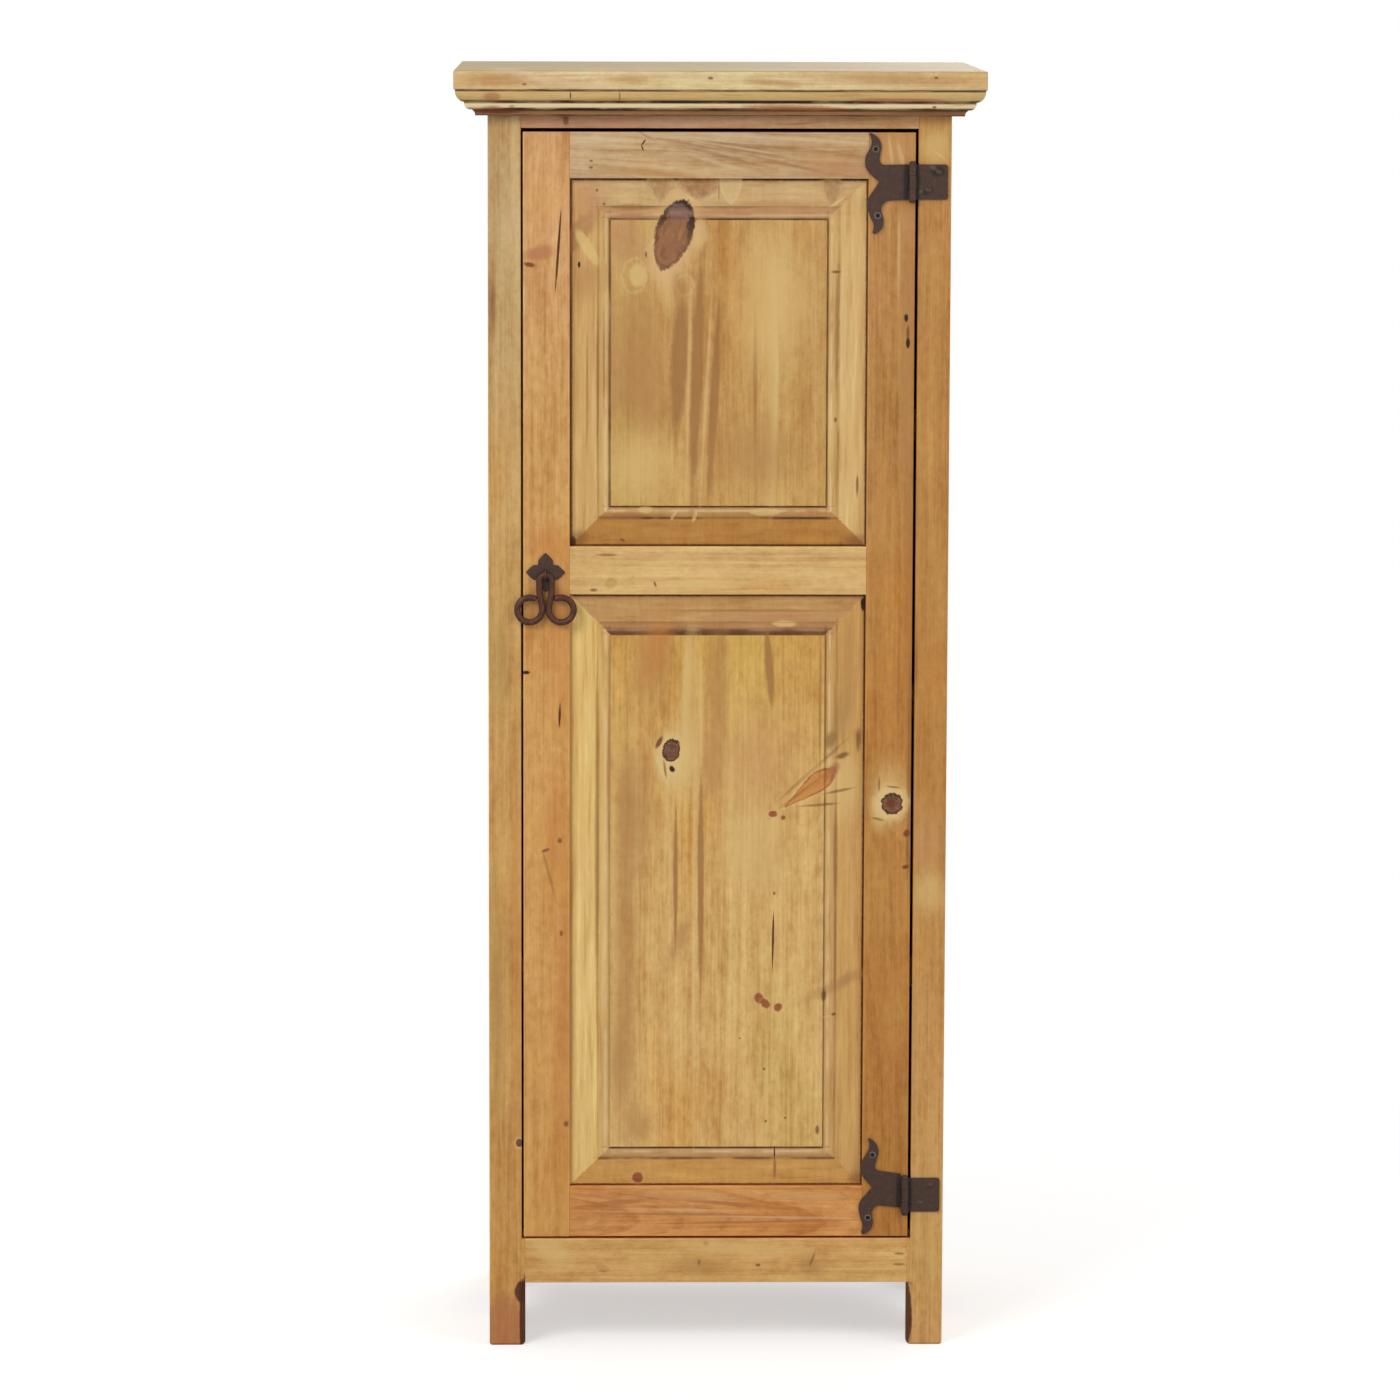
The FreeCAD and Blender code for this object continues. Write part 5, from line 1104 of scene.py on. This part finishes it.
# %% Boards that the front shows
FRONT_BOARDS = {
    "face_stile_left": dict(run="up_front", colour=(190, 156, 108), middle=(202, 155, 91),
                            lower=(202, 151, 86), heart=(0.03, 0.11), figure=0.5),
    "face_stile_right": dict(run="up_front", colour=(191, 137, 78), middle=(186, 130, 67),
                             lower=(208, 158, 96), heart=(-0.02, 0.13), figure=0.4),
    "face_rail_top": dict(run="level_front", colour=(200, 153, 107), lower=(186, 139, 108),
                          heart=(0.02, 0.09), figure=0.6),
    "face_rail_bottom": dict(run="level_front", colour=(214, 164, 99), lower=(210, 158, 97),
                             heart=(0.01, 0.14), figure=0.3),
    "door_stile_left": dict(run="up_front", colour=(210, 158, 104), middle=(212, 157, 90),
                            lower=(206, 150, 82), heart=(0.04, 0.15), figure=0.5),
    "door_stile_right": dict(run="up_front", colour=(190, 136, 80), middle=(184, 129, 66),
                             lower=(182, 122, 59), heart=(-0.03, 0.08), figure=0.6),
    "door_rail_top": dict(run="level_front", colour=(193, 160, 122), lower=(198, 171, 138),
                          heart=(-0.05, 0.06), rise=0.08, contrast=0.9),
    "door_rail_middle": dict(run="level_front", colour=(214, 172, 111), heart=(0.02, 0.16),
                             figure=0.4, contrast=0.9),
    "door_rail_bottom": dict(run="level_front", colour=(213, 148, 84), lower=(207, 144, 84),
                             heart=(-0.01, 0.06), rise=0.10),
    "door_panel_upper": dict(run="up_front", colour=(201, 157, 97), middle=(196, 150, 88),
                             lower=(202, 158, 92), heart=(-0.10, 0.16), figure=0.3,
                             stain_and_shade=panel_stain),
    "door_panel_lower": dict(run="up_front", colour=(208, 158, 82), middle=(216, 174, 108),
                             lower=(218, 174, 108), heart=(0.12, 0.16), figure=0.35,
                             stain_and_shade=panel_stain),
    "top_board_front": dict(run="level_flat", colour=(208, 174, 124), middle=(220, 194, 142),
                            lower=(212, 180, 132), heart=(0.02, 0.10), figure=0.6,
                            stain_and_shade=dusty_top),
    "top_board_middle": dict(run="level_flat", colour=(204, 176, 134), heart=(-0.02, 0.08),
                             stain_and_shade=dusty_top),
    "top_board_rear": dict(run="level_flat", colour=(202, 178, 138), heart=(0.03, 0.07),
                           stain_and_shade=dusty_top),
    "cornice_front": dict(run="level_front", colour=(200, 162, 110), heart=(0.01, 0.09),
                          stain_and_shade=quirk_stain),
    "cornice_left": dict(run="level_back", colour=(190, 150, 100), heart=(0.01, 0.05),
                         stain_and_shade=quirk_stain),
    "cornice_right": dict(run="level_back", colour=(188, 146, 96), heart=(0.02, 0.06),
                          stain_and_shade=quirk_stain),
}
for node_name, look in FRONT_BOARDS.items():
    finish_node(node_name, stained_pine(node_name, **look))
print(len(FRONT_BOARDS), "boards finished")

# %% [markdown]
# ### The boards behind
# Sides, back, shelves and cleats come from the same stack. Their colours are drawn within the
# same range with a fixed seed, the inside a little paler because it got stain but no wax.

# %% Sides, back and inside
SIDE_TONES = [(196, 152, 96), (188, 142, 84), (203, 160, 104), (184, 136, 82), (199, 150, 90)]
INSIDE_TONES = [(206, 166, 112), (200, 156, 100), (210, 172, 120)]


def run_of(node_name):
    """Which way a board runs, from its name."""
    if node_name.startswith("side_"):
        return "up_side"
    if node_name.startswith("back_board"):
        return "up_front"
    if node_name.startswith("back_rail"):
        return "level_front"
    return "level_back" if "cleat" in node_name else "level_flat"


hidden = [name for name in sorted(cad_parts)
          if name.startswith(("side_", "back_", "floor_", "shelf_"))]
for node_name in hidden:
    draw = random.Random("stack " + node_name)
    tones = SIDE_TONES if node_name.startswith("side_") else INSIDE_TONES
    finish_node(node_name, stained_pine(
        node_name, run_of(node_name), draw.choice(tones),
        heart=(draw.uniform(-0.04, 0.04), draw.uniform(0.03, 0.12)),
        ring=draw.uniform(4.4, 6.4)))
print(len(hidden), "more boards finished")

# %% [markdown]
# ## Forged iron
# The hinges and the pull are blackened iron, rubbed with wax, which leaves a brown-grey skin.
# It is metal, but a dull one: the skin scatters light, so it stays rough and only partly
# metallic. Hammer marks are shallow dents a few millimetres across, and rust shows as warmer
# patches. Rubbed places are a little paler.


# %% Iron
LEAF_TONES = (66, 48, 39), (76, 51, 37), (98, 79, 67)
ROD_TONES = (70, 40, 28), (90, 50, 32), (116, 76, 54)
PIN_TONES = (58, 44, 38), (72, 50, 38), (100, 84, 74)
RUST_SCALE, WEAR_SCALE, HAMMER_SCALE = 120.0, 420.0, 170.0
HAMMER_DEPTH = 0.0008
BARE_IRON = 0.25
SKIN_ROUGH, RUBBED_ROUGH = 0.62, 0.46


def wrought_iron(name, skin, warm, rubbed, dents=0.5, marks=()):
    """Blackened iron with hammer dents, and the marks of one leaf where it has any."""
    material, wires, shader = new_material(name)
    place = wires.object_place()
    rust = wires.noise(place, RUST_SCALE, 3.0, 0.6)
    wear = wires.noise(place, WEAR_SCALE, 3.0, 0.65)
    colour = wires.blend(wires.band(rust, 0.42, 0.66), tone(*skin), tone(*warm))
    colour = wires.blend(wires.band(wear, 0.56, 0.74, 0.0, 0.6), colour, tone(*rubbed))
    wires.feed(shader.inputs["Base Color"], lay_marks(wires, colour, place, marks))
    shader.inputs["Metallic"].default_value = BARE_IRON
    wires.feed(shader.inputs["Roughness"], wires.band(wear, 0.3, 0.7, SKIN_ROUGH, RUBBED_ROUGH))
    hammer = wires.fed("ShaderNodeTexVoronoi", {"Vector": place, "Scale": HAMMER_SCALE},
                       feature="SMOOTH_F1")
    height = wires.add(hammer["Distance"], wires.times(wear, 0.25))
    add_bump(wires, shader, height, dents, HAMMER_DEPTH)
    return material


leaf_iron = wrought_iron("iron_leaves", *LEAF_TONES)
rod_iron = wrought_iron("iron_rod", *ROD_TONES, dents=0.3)
pin_iron = wrought_iron("iron_pins", *PIN_TONES, dents=0.2)
iron_nodes = [name for name in sorted(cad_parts) if name.startswith(("hinge_", "pull_"))]
for node_name in iron_nodes:
    if node_name in ("pull_drop", "pull_staple"):
        finish_node(node_name, rod_iron)
    elif "pin" in node_name:
        finish_node(node_name, pin_iron)
    elif node_name in PLACES:
        finish_node(node_name, wrought_iron("iron_" + node_name, *LEAF_TONES,
                                            marks=PLACES[node_name]))
    else:
        finish_node(node_name, leaf_iron)
print(len(iron_nodes), "iron pieces finished")

# %% [markdown]
# ## The catch
# Behind the door a brown plastic case holds a magnet, and a thin zinc-plated strike meets it.
# Both are small and plain, so their finish only needs a fine moulded grain and a brushed plate.


# %% Plastic and zinc
GRAIN_SHADE = 0.82
GRAIN_ROUGH = 0.08


def small_finish(name, colour, metallic, rough, grain, stretch_by):
    """A plain colour with a fine grain, for a moulded case or a brushed plate."""
    material, wires, shader = new_material(name)
    fine = wires.noise(wires.stretch(wires.object_place(), stretch_by), grain)
    light = tone(*colour)
    wires.feed(shader.inputs["Base Color"],
               wires.blend(wires.band(fine, 0.3, 0.7), shade(light, GRAIN_SHADE), light))
    shader.inputs["Metallic"].default_value = metallic
    wires.feed(shader.inputs["Roughness"],
               wires.band(fine, 0.3, 0.7, rough - GRAIN_ROUGH, rough + GRAIN_ROUGH))
    add_bump(wires, shader, fine, 0.15, 0.0001)
    return material


brown_plastic = small_finish("catch_plastic", (98, 66, 46), 0.0, 0.5, 900.0, (1, 1, 1))
zinc = small_finish("zinc_plate", (176, 176, 170), 1.0, 0.34, 500.0, (0.1, 1, 1))
finish_node("catch_body", brown_plastic)
for node_name in ("catch_strike", "catch_screws", "catch_strike_screw"):
    finish_node(node_name, zinc)
print("catch finished")

# %% [markdown]
# ## Screws and nails, set out by rule
# Everything small that repeats is made once and then set out along points. The cross-head screw
# is turned like a lathe turns it: a profile goes round an axis, and the recess gets its cross by
# letting the radius swell four times on the way round. The nail has the low, eight-sided head that
# a smith gives it. A Geometry Nodes tree puts the piece on every point, turns it to face its
# board, and gives each one a spin of its own with a fixed seed, as no two screws stop at the same
# angle. The result is turned into a plain mesh before it joins the frame.

# %% A lathe
def lathe(name, profile, sides, lobes=0.0, lobed=()):
    """Turn a profile of (radius, depth) in millimetres about Y; lobed rows swell four times."""
    verts, faces, dark = [], [], []
    for row, (radius, depth) in enumerate(profile):
        for side in range(sides):
            angle = math.tau * side / sides
            swell = 1 + (lobes * math.cos(4 * angle) if row in lobed else 0.0)
            verts.append((radius * swell * math.cos(angle) * MM, depth * MM,
                          radius * swell * math.sin(angle) * MM))
    for row in range(len(profile) - 1):
        for side in range(sides):
            after = (side + 1) % sides
            faces.append((row * sides + side, row * sides + after,
                          (row + 1) * sides + after, (row + 1) * sides + side))
            dark.append(1.0 if row in lobed else 0.0)
    faces.append(tuple(reversed(range(sides))))
    dark.append(1.0 if 0 in lobed else 0.0)
    last = (len(profile) - 1) * sides
    faces.append(tuple(range(last, last + sides)))
    dark.append(0.0)
    mesh = bpy.data.meshes.new(name)
    mesh.from_pydata(verts, [], faces)
    mesh.attributes.new("recess", "FLOAT", "FACE").data.foreach_set("value", dark)
    tidy = bmesh.new()
    tidy.from_mesh(mesh)
    bmesh.ops.recalc_face_normals(tidy, faces=tidy.faces)
    tidy.to_mesh(mesh)
    tidy.free()
    return bpy.data.objects.new(name, mesh)


print("the lathe runs")

# %% A screw and a nail
SCREW_HEAD = [(1.0, 1.5), (1.8, 1.5), (2.1, 0.25), (2.6, 0.0), (3.7, 0.05), (4.0, 0.35),
              (1.9, 3.0)]
SCREW_TIP = [(0.5, 9.1)]
SCREW_SIDES = 28
NAIL = [(0.5, -1.3), (1.7, -1.0), (2.9, -0.35), (3.3, 0.0), (1.2, 0.3), (1.1, 8.0), (0.3, 9.5)]
NAIL_SIDES = 8


def thread(start, end, crest, root, pitch):
    """Ridges from start to end, as rows of a profile."""
    rows = []
    for step in range(int((end - start) / pitch)):
        rows += [(root, start + step * pitch), (crest, start + (step + 0.5) * pitch)]
    return rows


ridges = thread(start=3.4, end=8.6, crest=1.9, root=1.4, pitch=0.8)
screw = lathe("screw", SCREW_HEAD + ridges + SCREW_TIP, SCREW_SIDES, lobes=0.16, lobed=(0, 1, 2))
nail = lathe("nail", NAIL, NAIL_SIDES)
print(len(screw.data.polygons), "faces on the screw,", len(nail.data.polygons), "on the nail")


# %% A tree that sets pieces out
SPIN_SEED = 11


def setting_out(name):
    """Put a piece on every point, facing the way that the point says, each with its own spin."""
    tree = bpy.data.node_groups.new(name, "GeometryNodeTree")
    face = tree.interface
    for label, kind, default in (("Points", "NodeSocketGeometry", None),
                                 ("Piece", "NodeSocketObject", None),
                                 ("Most spin", "NodeSocketFloat", math.pi),
                                 ("Surface", "NodeSocketMaterial", None),
                                 ("Hollow", "NodeSocketMaterial", None)):
        socket = face.new_socket(label, in_out="INPUT", socket_type=kind)
        if default is not None:
            socket.default_value = default
    face.new_socket("Pieces", in_out="OUTPUT", socket_type="NodeSocketGeometry")
    w = Wiring(tree)
    given = w.node("NodeGroupInput").outputs
    piece = w.fed("GeometryNodeObjectInfo", {"Object": given["Piece"]})
    spin = w.fed("FunctionNodeRandomValue", {3: given["Most spin"], "Seed": SPIN_SEED},
                 data_type="FLOAT")
    facing, recess = (w.fed("GeometryNodeInputNamedAttribute", {"Name": label}, data_type="FLOAT")
                      for label in ("facing", "recess"))
    angles = w.together(0.0, spin[1], facing["Attribute"])
    rotation = w.fed("FunctionNodeEulerToRotation", {0: angles})
    placed = w.fed("GeometryNodeInstanceOnPoints",
                   {"Points": given["Points"], "Instance": piece["Geometry"],
                    "Rotation": rotation[0]})
    real = w.fed("GeometryNodeRealizeInstances", {0: placed[0]})
    surface = w.fed("GeometryNodeSetMaterial", {"Geometry": real[0], "Material": given["Surface"]})
    # The faces of the recess get the second material, which is painted shade.
    inside = w.fed("FunctionNodeCompare", {0: recess["Attribute"], 1: 0.5},
                   data_type="FLOAT", operation="GREATER_THAN")
    hollow = w.fed("GeometryNodeSetMaterial",
                   {"Geometry": surface[0], "Selection": inside[0], "Material": given["Hollow"]})
    w.feed(w.node("NodeGroupOutput").inputs[0], hollow[0])
    return tree


pieces_on_points = setting_out("pieces_on_points")
print("the tree has", len(pieces_on_points.nodes), "nodes")


# %% Using the tree
def set_out(name, places, piece, surface, hollow, body):
    """Set a piece out on places, given as (x, y, z, facing), and make one plain mesh of them."""
    mesh = bpy.data.meshes.new(name)
    mesh.from_pydata([place[:3] for place in places], [], [])
    mesh.attributes.new("facing", "FLOAT", "POINT").data.foreach_set(
        "value", [place[3] for place in places])
    made = bpy.data.objects.new(name, mesh)
    bpy.context.scene.collection.objects.link(made)
    modifier = made.modifiers.new("set out", "NODES")
    modifier.node_group = pieces_on_points
    keys = {item.name: item.identifier for item in pieces_on_points.interface.items_tree
            if item.in_out == "INPUT"}
    modifier[keys["Piece"]] = piece
    modifier[keys["Surface"]] = surface
    modifier[keys["Hollow"]] = hollow
    ready = made.evaluated_get(bpy.context.evaluated_depsgraph_get())
    plain = bpy.data.meshes.new_from_object(ready)
    made.modifiers.clear()
    made.data = plain
    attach(made, body)
    print(name, "has", len(places), "pieces and", len(plain.polygons), "faces")
    return made


print("pieces can be set out")

# %% [markdown]
# ### Where they go
# The four screws of the hinges sit in their countersinks, where the finished solid has them. The
# back boards are nailed to the two back rails and to the shelves, two nails to a board, and each
# cleat is held by three screws.

# %% The hinge screws
SCREW_TONES = (116, 104, 96), (96, 80, 70), (158, 148, 140)
# Near-black tones for the cross recess: painted shade in place of the shadow inside it.
RECESS_SHADE_TONES = (20, 15, 13), (30, 20, 16), (36, 28, 24)
HINGE_PROUD = 0.25 * MM


def middles_of(node_name):
    """The middle and the nearest Y of every separate body in a finished solid."""
    shape = bmesh.new()
    shape.from_mesh(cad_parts[node_name].data)
    bmesh.ops.remove_doubles(shape, verts=shape.verts, dist=1e-5)
    left = set(shape.verts)
    found = []
    while left:
        body, edge = set(), [left.pop()]
        while edge:
            vert = edge.pop()
            body.add(vert)
            for link in vert.link_edges:
                other = link.other_vert(vert)
                if other in left:
                    left.remove(other)
                    edge.append(other)
        xs, ys, zs = zip(*(vert.co for vert in body))
        found.append(((min(xs) + max(xs)) / 2, min(ys), (min(zs) + max(zs)) / 2))
    shape.free()
    return sorted(found)


screw_steel = wrought_iron("screw_steel", *SCREW_TONES, dents=0.1)
# The recess material is painted shade.
recess_shade = wrought_iron("recess_shade", *RECESS_SHADE_TONES, dents=0.1)
screws = set_out("hinge_screws",
                 [(x, y - HINGE_PROUD, z, 0.0) for x, y, z in middles_of("hinge_door_screws")],
                 screw, screw_steel, recess_shade, "door")
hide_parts("hinge_door_screws")

# %% The nails of the back
BACK_BOARDS = 5
NAIL_INSET = 0.16
rows = [sum(corner.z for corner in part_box(name)) / 2
        for name in ("back_rail_bottom", "shelf_lower", "shelf_middle", "shelf_upper",
                     "back_rail_top")]
nail_places = []
for number in range(1, BACK_BOARDS + 1):
    low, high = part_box("back_board_" + str(number))
    inset = (high.x - low.x) * NAIL_INSET
    nail_places += [(x, high.y, height, math.pi) for height in rows
                    for x in (low.x + inset, high.x - inset)]
set_out("back_nails", nail_places, nail, pin_iron, pin_iron, "carcass")

# %% The screws of the cleats
ALONG_CLEAT = (0.12, 0.5, 0.88)
CLEAT_PROUD = 0.1 * MM
cleat_places = []
for node_name in hidden:
    if "cleat" in node_name:
        low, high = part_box(node_name)
        facing = 1 if low.x < 0 else -1
        inner = high.x if facing > 0 else low.x
        cleat_places += [(inner + facing * CLEAT_PROUD, low.y + share * (high.y - low.y),
                          (low.z + high.z) / 2, facing * math.pi / 2) for share in ALONG_CLEAT]
set_out("cleat_screws", cleat_places, screw, zinc, recess_shade, "carcass")

# %% [markdown]
# ## Floor and light
# The cabinet stands in a white studio. The floor is white too, large enough to run out of the
# picture, and keeps the soft shadow of the legs. A big lamp on the upper left shapes the
# mouldings, a second one fills from the right, a third one lights the back, and the white room
# does the rest. The room is pure white only where the camera or a shiny surface looks at it, so
# it doesn't wash out the wood. Further from the cabinet the floor fades into that white, so no
# horizon shows behind it.


# %% Lamps
# Name: place, what it looks at, width in metres and power in watts.
LAMPS = {
    "key": ((-2.6, -3.4, 3.6), (0, 0, 0.75), 2.4, 104),
    "fill": ((3.2, -3.0, 1.8), (0, 0, 0.7), 2.2, 34),
    "back": ((1.5, 3.6, 3.0), (0, 0, 0.8), 2.6, 52),
}
LAMP_HEIGHT = 0.8


def big_lamp(name, place, target, wide, power):
    """A soft lamp, a little wider than high, turned to its target."""
    light = bpy.data.lights.new(name, "AREA")
    light.shape = "RECTANGLE"
    light.size = wide
    light.size_y = wide * LAMP_HEIGHT
    light.energy = power
    lamp = bpy.data.objects.new(name, light)
    lamp.location = place
    lamp.rotation_euler = (Vector(target) - Vector(place)).to_track_quat("-Z", "Y").to_euler()
    bpy.context.scene.collection.objects.link(lamp)


for name, settings in LAMPS.items():
    big_lamp(name, *settings)
print(len(LAMPS), "lamps")

# %% The white room
ROOM_LIGHT = 0.46
world = bpy.data.worlds.new("white_room")
bpy.context.scene.world = world
world.use_nodes = True
wires = Wiring(world.node_tree)
paths = wires.node("ShaderNodeLightPath").outputs
seen = wires.math("MAXIMUM", paths["Is Camera Ray"],
                  wires.math("MAXIMUM", paths["Is Glossy Ray"], paths["Is Transmission Ray"]))
room = world.node_tree.nodes["Background"]
room.inputs["Color"].default_value = (1, 1, 1, 1)
wires.feed(room.inputs["Strength"], wires.band(seen, 0.0, 1.0, ROOM_LIGHT, 1.0))
print("room gives", ROOM_LIGHT, "of its white as light")

# %% The floor
NEAR_FLOOR, FAR_FLOOR = 0.45, 1.5
FLOOR_GREY = 0.72
FLOOR_GLOW = 0.52
FLOOR_SIZE = 30
bpy.ops.mesh.primitive_plane_add(size=FLOOR_SIZE, location=(0, 0, 0))
floor = bpy.context.active_object
floor.name = "studio_floor"
floor_paint, wires, _ = new_material("studio_white")
wires.tree.nodes.clear()
to_camera = wires.node("ShaderNodeLightPath").outputs["Is Camera Ray"]
away = wires.fed("ShaderNodeVectorMath", {0: wires.object_place()}, operation="LENGTH")["Value"]
far = wires.times(wires.band(away, NEAR_FLOOR, FAR_FLOOR), to_camera)
matt = wires.fed("ShaderNodeBsdfDiffuse", {"Color": (FLOOR_GREY, FLOOR_GREY, FLOOR_GREY, 1)})
glow = wires.fed("ShaderNodeEmission", {"Strength": wires.times(to_camera, FLOOR_GLOW)})
near_look = wires.fill(wires.node("ShaderNodeAddShader"), matt[0], glow[0])
far_look = wires.node("ShaderNodeEmission").outputs[0]
both = wires.fill(wires.node("ShaderNodeMixShader"), far, near_look, far_look)
wires.feed(wires.node("ShaderNodeOutputMaterial").inputs["Surface"], both)
floor.data.materials.append(floor_paint)
bpy.context.scene.view_settings.view_transform = "Standard"
print("floor fades to white", FAR_FLOOR, "m from the cabinet")
